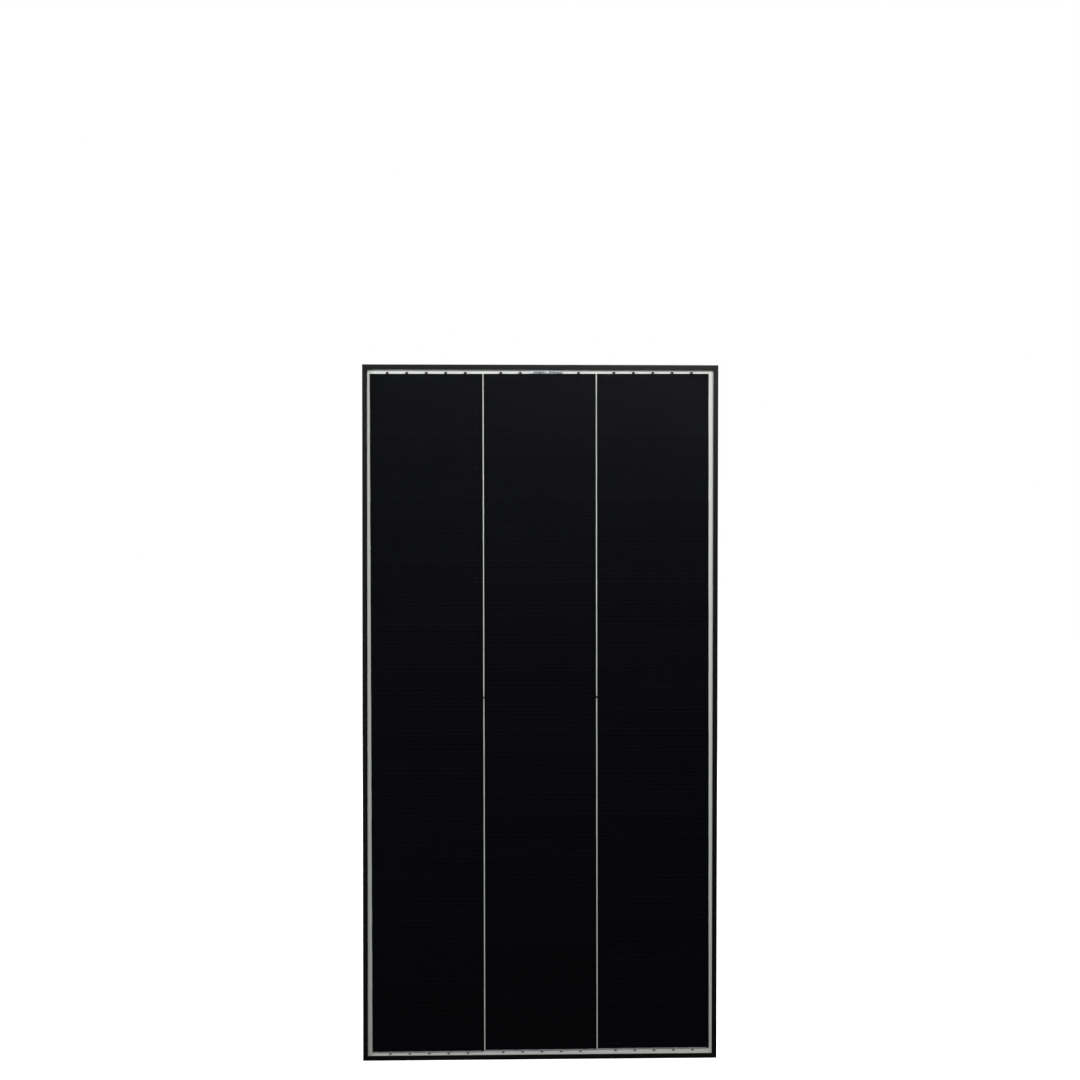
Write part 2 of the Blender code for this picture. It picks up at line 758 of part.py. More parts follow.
def screw_positions():
    z = box_centre_z - SCREW_BELOW_CENTRE
    offset = TERMINAL_PITCH + SCREW_OFFSET_X
    return (("left", -offset, z), ("right", offset, z))


def base_additions():
    """Collars, spigots, hinge eyes and latch nub, which stand on the outside of the box."""
    bm = bmesh.new()
    inside = box_bottom + BOX_WALL / 2
    for _, x in gland_x():
        outline = circle(x, GLAND_AXIS_Y, COLLAR_RADIUS)
        add_prism(bm, [outline], level(box_bottom - COLLAR_LENGTH), level(inside))
    offset = (LID_KNUCKLE_WIDTH + BASE_KNUCKLE_WIDTH) / 2 + KNUCKLE_SIDE_GAP
    web_front = hinge_y - KNUCKLE_RADIUS * BASE_WEB_REACH
    web_rear = box_rim - PART_GAP
    foot_front = box_rim - 3 * KNUCKLE_RADIUS
    for side in (-1, 1):
        for step in (-offset, offset):
            x = side * KNUCKLE_CENTRE_X + step
            knuckle(bm, x, BASE_KNUCKLE_WIDTH, web_front, web_rear, foot_front, box_top - BOX_WALL / 2)
    window_width, window_height = LATCH_WINDOW
    nub_y = lid_outer_y - LATCH_LENGTH + window_height
    half_nub = window_height / 2 - LATCH_NUB_CLEARANCE
    reach = window_width / 2 - LATCH_NUB_CLEARANCE
    nub = rectangle(-reach, reach, nub_y - half_nub, nub_y + half_nub)
    add_prism(bm, [nub], level(box_bottom - LATCH_NUB_HEIGHT), level(inside))
    return object_from("base_additions", bm, None)


def base_spigots():
    bm = bmesh.new()
    for _, x in gland_x():
        outline = circle(x, GLAND_AXIS_Y, SPIGOT_RADIUS)
        add_prism(bm, [outline], level(box_bottom - SPIGOT_LENGTH), level(box_bottom - COLLAR_LENGTH / 2))
    return object_from("base_spigots", bm, None)


def gland_cutters(name, radius, low, high):
    bm = bmesh.new()
    for _, x in gland_x():
        add_prism(bm, [circle(x, GLAND_AXIS_Y, radius)], level(low), level(high))
    return object_from(name, bm, None)


def inner_ribs():
    """Rests under the terminals and bosses for the clamp screws, standing on the floor of the box."""
    bm = bmesh.new()
    sunk = box_floor_y - BOX_FLOOR / 2
    top = terminal_y - PART_GAP
    rest = TERMINAL_WIDTH / 2
    high = box_centre_z + TERMINAL_TOP_ABOVE_CENTRE
    for i in (-1, 0, 1):
        x = i * TERMINAL_PITCH
        bar = rectangle(x - rest, x + rest, high - LEAD_LANDING / 2, high)
        add_prism(bm, [bar], facing(sunk), facing(top))
    low = high - TERMINAL_LENGTH
    bar = rectangle(-rest, rest, low, low + LEAD_LANDING / 2)
    add_prism(bm, [bar], facing(sunk), facing(top))
    for _, x, z in screw_positions():
        add_prism(bm, [circle(x, z, BOSS_RADIUS, HOLE_SEGMENTS)], facing(sunk), facing(top))
    return object_from("inner_ribs", bm, None)


def screw_pilots():
    bm = bmesh.new()
    low = box_front + BOX_FLOOR / 4
    for _, x, z in screw_positions():
        outline = circle(x, z, SCREW_SHANK_RADIUS + SCREW_CLEARANCE, HOLE_SEGMENTS)
        add_prism(bm, [outline], facing(low), facing(terminal_y + PART_GAP))
    return object_from("screw_pilots", bm, None)


def make_box_base(finish):
    base = prism("junction_box_base", [box_outline(0)], facing(box_front), facing(box_rim), finish)
    combine(base, base_additions(), "UNION")
    combine(base, base_spigots(), "UNION")
    cavity = prism("box_cavity", [box_outline(BOX_WALL)], facing(box_floor_y), facing(box_rim + BOX_WALL))
    combine(base, cavity, "DIFFERENCE")
    combine(base, inner_ribs(), "UNION")
    window_front, window_rear = box_front - BOX_FLOOR, box_floor_y + BOX_FLOOR
    window_outline = lead_window(LEAD_SLOT_MARGIN)
    window = prism("box_window", [window_outline], facing(window_front), facing(window_rear))
    combine(base, window, "DIFFERENCE")
    combine(base, screw_pilots(), "DIFFERENCE")
    combine(base, hinge_bore("base_hinge_bore"), "DIFFERENCE")
    tip = box_bottom - SPIGOT_LENGTH
    bore = gland_cutters("cable_bores", CABLE_BORE_RADIUS, tip - BOX_WALL, box_bottom + 2 * BOX_WALL)
    combine(base, bore, "DIFFERENCE")
    pocket_end = tip + SEAL_LENGTH + SEAL_CLEARANCE
    pocket = gland_cutters("seal_pockets", SEAL_OUTER_RADIUS + SEAL_CLEARANCE, tip - BOX_WALL, pocket_end)
    combine(base, pocket, "DIFFERENCE")
    return smooth(base)


def make_lid(finish):
    lid = prism("junction_box_lid", [box_outline(0)], facing(lid_inner_y), facing(lid_outer_y), finish)
    outer = box_outline(BOX_WALL + LID_LIP_CLEARANCE)
    inner = box_outline(BOX_WALL + LID_LIP_CLEARANCE + LID_LIP_THICKNESS)
    lip_front, lip_rear = box_rim - LID_LIP_DEPTH, lid_inner_y + LID_PLATE / 2
    lip = prism("lid_lip", [outer, inner], facing(lip_front), facing(lip_rear))
    combine(lid, lip, "UNION")
    bm = bmesh.new()
    middle_y = (lid_inner_y + lid_outer_y) / 2
    web_front = lid_inner_y + PART_GAP
    web_rear = lid_outer_y - PART_GAP
    for side in (-1, 1):
        x = side * KNUCKLE_CENTRE_X
        knuckle(bm, x, LID_KNUCKLE_WIDTH, web_front, web_rear, web_front, box_top - BOX_WALL)
    face = box_bottom - LATCH_CLEARANCE
    reach = LATCH_WIDTH / 2
    profile = [
        (middle_y - LID_PLATE / 4, box_bottom + BOX_WALL),
        (lid_outer_y - PART_GAP, box_bottom + BOX_WALL),
        (lid_outer_y - PART_GAP, face - LATCH_THICKNESS / 2),
        (lid_outer_y - LATCH_THICKNESS / 2, face - LATCH_THICKNESS),
        (lid_outer_y - LATCH_LENGTH, face - LATCH_THICKNESS),
        (lid_outer_y - LATCH_LENGTH, face),
        (middle_y - LID_PLATE / 4, face),
    ]
    add_prism(bm, [profile], across(-reach), across(reach))
    combine(lid, object_from("lid_additions", bm, None), "UNION")
    window_width, window_height = LATCH_WINDOW
    centre_y = lid_outer_y - LATCH_LENGTH + window_height
    half = window_height / 2
    outline = rectangle(-window_width / 2, window_width / 2, centre_y - half, centre_y + half)
    low, high = face - 2 * LATCH_THICKNESS, face + LATCH_CLEARANCE / 2
    window = prism("latch_window", [outline], level(low), level(high))
    combine(lid, window, "DIFFERENCE")
    combine(lid, hinge_bore("lid_hinge_bore"), "DIFFERENCE")
    return smooth(lid)


def make_box_seals(finishes):
    outer = box_outline(ADHESIVE_INSET)
    hole = [lead_window(2 * LEAD_SLOT_MARGIN)]
    front = layer["backsheet"][1] + LAYER_GAP
    rear = front + ADHESIVE_THICKNESS
    prism("box_adhesive", [outer, *hole], facing(front), facing(rear), finishes["silicone"])
    edge = (BOX_WALL - GASKET_WIDTH) / 2
    gasket = [box_outline(edge), box_outline(edge + GASKET_WIDTH)]
    low = box_rim + LAYER_GAP
    prism("lid_gasket", gasket, facing(low), facing(low + GASKET_THICKNESS), finishes["rubber"])


def make_hinge_pin(finish):
    reach = KNUCKLE_CENTRE_X + LID_KNUCKLE_WIDTH / 2 + BASE_KNUCKLE_WIDTH
    outline = circle(hinge_y, hinge_z, HINGE_PIN_RADIUS, HOLE_SEGMENTS)
    smooth(prism("lid_hinge_pin", [outline], across(-reach), across(reach), finish))


def make_terminals(finish):
    high = box_centre_z + TERMINAL_TOP_ABOVE_CENTRE
    half = TERMINAL_WIDTH / 2
    hole_radius = SCREW_SHANK_RADIUS + SCREW_CLEARANCE
    holes = {name: circle(x, z, hole_radius, HOLE_SEGMENTS) for name, x, z in screw_positions()}
    for i, name in enumerate(STRINGS):
        x = (i - 1) * TERMINAL_PITCH
        loops = [rectangle(x - half, x + half, high - TERMINAL_LENGTH, high)]
        if name in holes:
            loops.append(holes[name])
        prism(f"terminal_{name}", loops, facing(terminal_y), facing(terminal_face), finish)


def make_clamps(finishes):
    """Square washer and slotted screw on each outer terminal."""
    washer_y = terminal_face + PART_GAP
    head_y = washer_y + WASHER_THICKNESS + PART_GAP
    half = WASHER_SIDE / 2
    drive_length, drive_width, drive_depth = SCREW_DRIVE
    for name, x, z in screw_positions():
        hole = circle(x, z, SCREW_SHANK_RADIUS + SCREW_CLEARANCE, HOLE_SEGMENTS)
        square = rectangle(x - half, x + half, z - half, z + half)
        low, high = facing(washer_y), facing(washer_y + WASHER_THICKNESS)
        prism(f"clamp_washer_{name}", [square, hole], low, high, finishes["steel"])
        head = prism(
            f"clamp_screw_{name}",
            [circle(x, z, SCREW_HEAD_RADIUS)],
            facing(head_y),
            facing(head_y + SCREW_HEAD_HEIGHT),
            finishes["steel"],
        )
        shank = prism(
            f"shank_{name}",
            [circle(x, z, SCREW_SHANK_RADIUS, HOLE_SEGMENTS)],
            facing(head_y - SCREW_LENGTH),
            facing(head_y + SCREW_HEAD_HEIGHT / 2),
        )
        combine(head, shank, "UNION")
        outline = rectangle(x - drive_length, x + drive_length, z - drive_width / 2, z + drive_width / 2)
        top = head_y + SCREW_HEAD_HEIGHT
        drive = prism(f"drive_{name}", [outline], facing(top - drive_depth), facing(top + drive_depth))
        smooth(combine(head, drive, "DIFFERENCE"))


def make_diodes(finish):
    """Axial diodes from each outer terminal to the centre one, their wires bent down to the plates."""
    z = box_centre_z - DIODE_BELOW_CENTRE
    axis_y = terminal_face + DIODE_LIFT
    foot_y = terminal_face + LAYER_GAP + DIODE_WIRE / 2
    for name, side in (("left", -1), ("right", 1)):
        x = side * TERMINAL_PITCH / 2
        outline = circle(axis_y, z, DIODE_RADIUS)
        low, high = across(x - DIODE_LENGTH / 2), across(x + DIODE_LENGTH / 2)
        body = prism(f"bypass_diode_{name}", [outline], low, high, finish)
        near, far = x - DIODE_SPAN / 2, x + DIODE_SPAN / 2
        path = [
            (near - DIODE_FOOT, foot_y),
            (near, foot_y),
            (near, axis_y),
            (far, axis_y),
            (far, foot_y),
            (far + DIODE_FOOT, foot_y),
        ]
        low, high = level(z - DIODE_WIRE / 2), level(z + DIODE_WIRE / 2)
        wire = prism(f"wire_{name}", [strip_outline(path, DIODE_WIRE)], low, high)
        smooth(combine(body, wire, "UNION"))


def make_glands(finishes):
    tip = box_bottom - SPIGOT_LENGTH
    ring_top = tip - PART_GAP
    ring_bottom = ring_top - SLIP_RING_THICKNESS
    wall_top = ring_bottom - PART_GAP
    nut_bottom = wall_top - NUT_END_WALL
    nut_top = box_bottom - COLLAR_LENGTH - NUT_COLLAR_GAP
    thread = SPIGOT_RADIUS + NUT_THREAD_CLEARANCE
    corner_radius = (thread + NUT_FLAT_WALL) * 2 / math.sqrt(3)
    for name, x in gland_x():
        seal = [circle(x, GLAND_AXIS_Y, SEAL_OUTER_RADIUS), circle(x, GLAND_AXIS_Y, SEAL_BORE_RADIUS)]
        smooth(prism(f"gland_seal_{name}", seal, level(tip), level(tip + SEAL_LENGTH), finishes["rubber"]))
        ring = [
            circle(x, GLAND_AXIS_Y, thread - SLIP_RING_SIDE_CLEARANCE),
            circle(x, GLAND_AXIS_Y, CABLE_BORE_RADIUS),
        ]
        low, high = level(ring_bottom), level(ring_top)
        smooth(prism(f"gland_slip_ring_{name}", ring, low, high, finishes["plastic"]))
        hexagon = circle(x, GLAND_AXIS_Y, corner_radius, 6)
        nut = prism(f"gland_nut_{name}", [hexagon], level(nut_bottom), level(nut_top), finishes["plastic"])
        bore_outline = circle(x, GLAND_AXIS_Y, thread)
        bore_top = nut_top + NUT_END_WALL
        bore = prism(f"nut_bore_{name}", [bore_outline], level(wall_top), level(bore_top))
        combine(nut, bore, "DIFFERENCE")
        mouth = prism(
            f"nut_mouth_{name}",
            [circle(x, GLAND_AXIS_Y, CABLE_BORE_RADIUS)],
            level(nut_bottom - NUT_END_WALL),
            level(wall_top + PART_GAP),
        )
        smooth(combine(nut, mouth, "DIFFERENCE"))


def make_junction_box(finishes):
    make_box_base(finishes["plastic"])
    make_lid(finishes["plastic"])
    make_box_seals(finishes)
    make_hinge_pin(finishes["steel"])
    make_terminals(finishes["tinned"])
    make_clamps(finishes)
    make_diodes(finishes["diode"])
    make_glands(finishes)


def main():
    for old in list(bpy.data.objects):
        bpy.data.objects.remove(old, do_unlink=True)
    finishes = make_materials()
    make_frame(finishes["anodised"])
    make_corner_keys(finishes["cast"])
    make_laminate(finishes)
    make_labels(finishes["paper"])
    make_junction_box(finishes)


main()
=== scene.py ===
import math

import bmesh
import bpy
import numpy as np
from mathutils import Euler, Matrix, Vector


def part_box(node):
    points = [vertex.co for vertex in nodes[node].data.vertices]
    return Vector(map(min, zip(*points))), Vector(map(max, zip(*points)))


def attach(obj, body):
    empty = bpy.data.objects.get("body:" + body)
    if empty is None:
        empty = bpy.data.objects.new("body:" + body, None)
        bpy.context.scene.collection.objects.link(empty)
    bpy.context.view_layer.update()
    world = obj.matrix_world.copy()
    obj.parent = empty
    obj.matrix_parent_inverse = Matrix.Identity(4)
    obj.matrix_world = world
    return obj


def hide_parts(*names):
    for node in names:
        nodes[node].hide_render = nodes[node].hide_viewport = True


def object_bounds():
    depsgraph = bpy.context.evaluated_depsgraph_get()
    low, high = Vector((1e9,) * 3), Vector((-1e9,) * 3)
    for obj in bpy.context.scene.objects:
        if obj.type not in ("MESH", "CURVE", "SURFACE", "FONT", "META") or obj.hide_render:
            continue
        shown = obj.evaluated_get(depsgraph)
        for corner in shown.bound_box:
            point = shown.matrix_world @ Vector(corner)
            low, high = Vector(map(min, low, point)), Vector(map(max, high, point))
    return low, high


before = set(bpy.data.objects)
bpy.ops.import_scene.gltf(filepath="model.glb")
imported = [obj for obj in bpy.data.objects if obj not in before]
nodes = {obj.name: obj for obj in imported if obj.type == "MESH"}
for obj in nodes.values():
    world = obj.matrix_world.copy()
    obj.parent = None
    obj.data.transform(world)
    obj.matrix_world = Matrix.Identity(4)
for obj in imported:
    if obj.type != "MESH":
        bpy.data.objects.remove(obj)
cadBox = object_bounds()
print("frame loaded:", len(nodes), "nodes")

dice = np.random.default_rng(11)



def gridFaces(rows, cols, wrapRows=False, wrapCols=False):
    # quads between neighbouring points of a rows x cols grid, wrapped round where asked
    r = np.arange(rows if wrapRows else rows - 1)[:, None]
    c = np.arange(cols if wrapCols else cols - 1)[None, :]
    r2, c2 = (r + 1) % rows, (c + 1) % cols
    quads = np.stack([r * cols + c + 0 * r, r * cols + c2, r2 * cols + c2, r2 * cols + c], axis=-1)
    return quads.reshape(-1, 4).tolist()


def shell(rings, wrap=False):
    # a closed skin through a stack of closed rings (rings x points x 3); the two ends are capped unless the
    # stack itself wraps round
    count, around = rings.shape[:2]
    faces = gridFaces(count, around, wrapRows=wrap, wrapCols=True)
    if not wrap:
        faces.append(list(range(around))[::-1])
        faces.append(list(range((count - 1) * around, count * around)))
    return rings.reshape(-1, 3), faces


def blocks(low, high, chamfer=0.0):
    # chamfered boxes, one for each row of low and high: a corner point moves in by the chamfer along two of
    # the three axes in turn, so that each corner is a small triangle
    low, high = np.atleast_2d(low).astype(float), np.atleast_2d(high).astype(float)
    low, high = np.broadcast_arrays(low, high)
    signs = np.array([[x, y, z] for x in (0, 1) for y in (0, 1) for z in (0, 1)])
    middle, half = (low + high) / 2, (high - low) / 2
    s = signs * 2 - 1
    c = np.minimum(chamfer, half.min(axis=1) * 0.9)[:, None, None, None]
    inward = 1 - np.eye(3)
    points = middle[:, None, None, :] + s[None, :, None, :] * (
        half[:, None, None, :] - c * inward[None, None]
    )
    if not chamfer:
        quads = [[0, 1, 3, 2], [4, 6, 7, 5], [0, 4, 5, 1], [2, 3, 7, 6], [0, 2, 6, 4], [1, 5, 7, 3]]
        points, size = points[:, :, 0], 8
    else:
        sides = {
            0: ([0, 1, 3, 2], [4, 6, 7, 5]),
            1: ([0, 4, 5, 1], [2, 3, 7, 6]),
            2: ([0, 2, 6, 4], [1, 5, 7, 3]),
        }
        quads = [[k * 3 + axis for k in loop] for axis, pair in sides.items() for loop in pair]
        for axis, pair in sides.items():
            for loop in pair:
                for a, b in zip(loop, loop[1:] + loop[:1]):
                    other = next(t for t in range(3) if t != axis and signs[a][t] == signs[b][t])
                    if axis < other:
                        quads.append([b * 3 + axis, a * 3 + axis, a * 3 + other, b * 3 + other])
        for k, sign in enumerate(signs):
            tri = [k * 3, k * 3 + 1, k * 3 + 2]
            quads.append(tri if sign.sum() % 2 else tri[::-1])
        size = 24
    n = len(low)
    faces = [[i * size + v for v in q] for i in range(n) for q in quads]
    return points.reshape(-1, 3), faces


def joined(*parts):
    # several (points, faces) as one, and how many faces each gave
    points, faces, counts, start = [], [], [], 0
    for p, f in parts:
        p = np.asarray(p, float).reshape(-1, 3)
        points.append(p)
        faces += [[v + start for v in face] for face in f]
        counts.append(len(f))
        start += len(p)
    return np.concatenate(points), faces, counts


def facedOut(points, faces):
    # turns a closed skin right way out: the sum of p0 . (p1 x p2) / 6 over its triangles is its volume
    points = np.asarray(points, float).reshape(-1, 3)
    fans = [(f[0], f[k], f[k + 1]) for f in faces for k in range(1, len(f) - 1)]
    a, b, c = (points[np.array(fans)[:, k]] - points[0] for k in range(3))
    volume = np.einsum("ij,ij->i", a, np.cross(b, c)).sum() / 6
    return points, faces if volume > 0 else [f[::-1] for f in faces]


def piece(name, parts, finishes, body, replaced=(), uv=None, smoothAngle=None):
    # parts is a list of (points, faces); finishes gives one material, or one for each part
    points, faces, counts = joined(*[facedOut(*part) for part in parts])
    mesh = bpy.data.meshes.new(name)
    mesh.from_pydata(points.tolist(), [], faces)
    made = bpy.data.objects.new(name, mesh)
    bpy.context.scene.collection.objects.link(made)
    finishes = finishes if isinstance(finishes, (list, tuple)) else [finishes]
    slots = []
    for finish in finishes:
        if finish not in slots:
            slots.append(finish)
            mesh.materials.append(finish)
    if len(finishes) > 1:
        index = np.repeat([slots.index(f) for f in finishes], counts)
        mesh.polygons.foreach_set("material_index", index.astype(np.int32))
    if uv is not None:
        layer = mesh.uv_layers.new(name="plan")
        corner = np.zeros(len(mesh.loops), np.int32)
        mesh.loops.foreach_get("vertex_index", corner)
        layer.data.foreach_set("uv", np.asarray(uv, np.float32)[corner].ravel())
    mesh.validate()
    if smoothAngle:
        mesh.shade_smooth()
        mesh.set_sharp_from_angle(angle=math.radians(smoothAngle))
    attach(made, body)
    if replaced:
        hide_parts(*replaced)
    return made


def roundedRectangle(width, height, radius, perCorner=6):
    # points (a, b) round a rectangle, counter-clockwise: a quarter circle in each corner
    t = np.linspace(0, math.pi / 2, perCorner + 1)
    arcs = []
    for k, (sa, sb) in enumerate(((1, 1), (-1, 1), (-1, -1), (1, -1))):
        a = sa * (width / 2 - radius) + radius * np.cos(t + k * math.pi / 2)
        b = sb * (height / 2 - radius) + radius * np.sin(t + k * math.pi / 2)
        arcs.append(np.stack([a, b], axis=-1))
    return np.concatenate(arcs)


def turnedRings(profile, centre, segments=48):
    # a profile of (radius, z) turned round an upright axis through centre = (x, y)
    t = np.linspace(0, 2 * math.pi, segments, endpoint=False)
    r, z = np.asarray(profile, float).T
    x = centre[0] + r[:, None] * np.cos(t)
    y = centre[1] + r[:, None] * np.sin(t)
    return np.stack([x, y, np.broadcast_to(z[:, None], x.shape)], axis=-1)



def newFinish(name):
    made = bpy.data.materials.new(name)
    made.use_nodes = True
    tree = made.node_tree
    return made, tree, tree.nodes["Principled BSDF"]


def add(tree, kind, values=None, **settings):
    made = tree.nodes.new(kind)
    for key, value in settings.items():
        setattr(made, key, value)
    for key, value in (values or {}).items():
        if isinstance(value, bpy.types.NodeSocket):
            tree.links.new(value, made.inputs[key])
        else:
            made.inputs[key].default_value = value
    return made


def sums(tree, operation, a, b=0.0, c=0.0):
    return add(tree, "ShaderNodeMath", {0: a, 1: b, 2: c}, operation=operation).outputs[0]


def spread(tree, value, low, high, toLow=0.0, toHigh=1.0):
    # maps low..high to toLow..toHigh, clamped
    return add(tree, "ShaderNodeMapRange", {0: value, 1: low, 2: high, 3: toLow, 4: toHigh}).outputs[0]


def blendColours(tree, factor, first, second):
    mix = tree.nodes.new("ShaderNodeMix")
    mix.data_type = "RGBA"
    for index, value in ((0, factor), (6, first), (7, second)):
        if isinstance(value, bpy.types.NodeSocket):
            tree.links.new(value, mix.inputs[index])
        else:
            mix.inputs[index].default_value = (*value, 1.0) if index else value
    return mix.outputs[2]


def noise(tree, scale, stretch=(1, 1, 1), detail=3.0, roughness=0.55):
    where = add(tree, "ShaderNodeTexCoord").outputs["Object"]
    place = add(tree, "ShaderNodeMapping", {"Vector": where, "Scale": stretch})
    made = add(
        tree,
        "ShaderNodeTexNoise",
        {"Vector": place.outputs[0], "Scale": scale, "Detail": detail, "Roughness": roughness},
    )
    return made.outputs["Fac"]


def bump(tree, shader, height, distance, strength=1.0):
    made = add(tree, "ShaderNodeBump", {"Height": height, "Distance": distance, "Strength": strength})
    tree.links.new(made.outputs[0], shader.inputs["Normal"])


def plainFinish(
    name,
    dark,
    light,
    roughness,
    metallic=0.0,
    scale=300.0,
    stretch=(1, 1, 1),
    grain=0.00003,
    specular=0.5,
):
    # two near colours in a fine noise, with the roughness and a small bump from the same noise
    made, tree, shader = newFinish(name)
    cloud = noise(tree, scale, stretch)
    tree.links.new(
        blendColours(tree, spread(tree, cloud, 0.3, 0.7), dark, light), shader.inputs["Base Color"]
    )
    tree.links.new(spread(tree, cloud, 0.25, 0.75, roughness[0], roughness[1]), shader.inputs["Roughness"])
    shader.inputs["Metallic"].default_value = metallic
    shader.inputs["Specular IOR Level"].default_value = specular
    bump(tree, shader, cloud, grain)
    return made


def anodisedFinish(name, stretch):
    # black anodising over extruded metal: long die lines along the rail, with a fine matt grain across them
    made, tree, shader = newFinish(name)
    lines = noise(tree, 1.0, stretch, detail=4.0, roughness=0.6)
    matt = noise(tree, 2600.0, detail=1.0)
    colour = blendColours(
        tree, spread(tree, lines, 0.35, 0.7), (0.0020, 0.0019, 0.0019), (0.0046, 0.0043, 0.0041)
    )
    tree.links.new(colour, shader.inputs["Base Color"])
    tree.links.new(spread(tree, lines, 0.3, 0.7, 0.36, 0.50), shader.inputs["Roughness"])
    shader.inputs["Specular IOR Level"].default_value = 0.16
    bump(tree, shader, sums(tree, "ADD", lines, matt), 0.00001)
    return made


def paneFinish(name, reflect, roughness, tint):
    # a clear layer: straight through, with a share of gloss that grows towards grazing angles
    made, tree, shader = newFinish(name)
    tree.nodes.remove(shader)
    gloss = add(tree, "ShaderNodeBsdfGlossy", {"Color": (1, 1, 1, 1), "Roughness": roughness})
    clear = add(tree, "ShaderNodeBsdfTransparent", {"Color": (*tint, 1)})
    grazing = add(tree, "ShaderNodeFresnel", {"IOR": 1.45})
    share = sums(tree, "MULTIPLY", grazing.outputs[0], reflect)
    mix = add(tree, "ShaderNodeMixShader", {0: share, 1: clear.outputs[0], 2: gloss.outputs[0]})
    tree.links.new(mix.outputs[0], tree.nodes["Material Output"].inputs["Surface"])
    return made


layup = {
    "turnDegrees": -0.15,  # the array is laid a little crooked
    "stripHeight": 0.03175,
    "stripPitch": {"left": 0.03003, "centre": 0.03000, "right": 0.02998},
    "stripLength": 0.15875,
    "strips": 32,
    "stringPitch": 0.16015,
    "stringGap": 0.0014,
    "thickness": 0.00020,
    "lean": 0.00025,  # how far a strip's foot lies behind its head
    "edge": 0.00003,
}

cellLook = {
    "base": (0.00045, 0.00055, 0.0015),
    "bluer": (0.0010, 0.0012, 0.0028),
    "line": (0.0150, 0.0160, 0.0180),
    "linePitch": 0.0060,
    "lineWidth": 0.00036,
    "fingerPitch": 0.00135,
    "fingerWidth": 0.00006,
}


def siliconFinish():
    # the plan gives x along a strip, and 0.1 for each strip plus the distance down it
    made, tree, shader = newFinish("darkSilicon")
    plan = add(tree, "ShaderNodeUVMap", uv_map="plan").outputs[0]
    axes = add(tree, "ShaderNodeSeparateXYZ", {0: plan})
    across, along = axes.outputs[0], axes.outputs[1]
    strip = sums(tree, "FLOOR", sums(tree, "DIVIDE", along, 0.1))
    down = sums(tree, "SUBTRACT", along, sums(tree, "MULTIPLY", strip, 0.1))
    pitch, width = cellLook["linePitch"], cellLook["lineWidth"]
    order = sums(tree, "DIVIDE", down, pitch)
    nearest = sums(tree, "ROUND", order)
    off = sums(tree, "ABSOLUTE", sums(tree, "SUBTRACT", order, nearest))
    line = spread(tree, off, width / pitch * 0.35, width / pitch * 0.65, 1.0, 0.0)
    line = sums(tree, "MULTIPLY", line, spread(tree, nearest, 0.4, 0.6))
    strong = sums(tree, "COMPARE", nearest, 4.0, 0.3)
    line = sums(tree, "MULTIPLY", line, spread(tree, strong, 0.0, 1.0, 0.62, 1.0))
    fPitch, fWidth = cellLook["fingerPitch"], cellLook["fingerWidth"]
    phase = sums(tree, "FRACT", sums(tree, "DIVIDE", across, fPitch))
    fingerOff = sums(tree, "ABSOLUTE", sums(tree, "SUBTRACT", phase, 0.5))
    finger = spread(tree, fingerOff, fWidth / fPitch * 0.35, fWidth / fPitch * 0.65, 1.0, 0.0)
    where = add(tree, "ShaderNodeTexCoord").outputs["Object"]
    place = add(tree, "ShaderNodeSeparateXYZ", {0: where}).outputs[0]
    column = sums(tree, "ROUND", sums(tree, "DIVIDE", place, layup["stringPitch"]))
    seed = add(tree, "ShaderNodeCombineXYZ", {0: strip, 1: column})
    tone = add(
        tree, "ShaderNodeTexWhiteNoise", {"Vector": seed.outputs[0]}, noise_dimensions="3D"
    ).outputs["Value"]
    smudge = noise(tree, 9.0, (1, 1, 0.6), detail=2.0)
    fine = noise(tree, 120.0, detail=3.0)
    shade = sums(tree, "ADD", sums(tree, "MULTIPLY", tone, 0.55), sums(tree, "MULTIPLY", smudge, 0.45))
    colour = blendColours(tree, spread(tree, shade, 0.2, 0.85), cellLook["base"], cellLook["bluer"])
    colour = blendColours(tree, spread(tree, fine, 0.3, 0.75, 0.0, 0.25), colour, cellLook["bluer"])
    printed = sums(tree, "MAXIMUM", line, sums(tree, "MULTIPLY", finger, 0.7))
    colour = blendColours(tree, printed, colour, cellLook["line"])
    tree.links.new(colour, shader.inputs["Base Color"])
    tree.links.new(spread(tree, printed, 0.0, 1.0, 0.42, 0.3), shader.inputs["Roughness"])
    shader.inputs["Specular IOR Level"].default_value = 0.06
    bump(tree, shader, printed, 0.00001)
    return made


def whiteSheetFinish(name, light, dark, roughness):
    # white film with faint clouding and a fine matt grain
    made, tree, shader = newFinish(name)
    cloud = noise(tree, 22.0, detail=4.0)
    grain = noise(tree, 1500.0, detail=2.0)
    mixed = sums(tree, "ADD", sums(tree, "MULTIPLY", cloud, 0.7), sums(tree, "MULTIPLY", grain, 0.3))
    tree.links.new(
        blendColours(tree, spread(tree, mixed, 0.3, 0.7), dark, light), shader.inputs["Base Color"]
    )
    tree.links.new(
        spread(tree, grain, 0.3, 0.7, roughness - 0.06, roughness + 0.06), shader.inputs["Roughness"]
    )
    bump(tree, shader, grain, 0.000003)
    return made


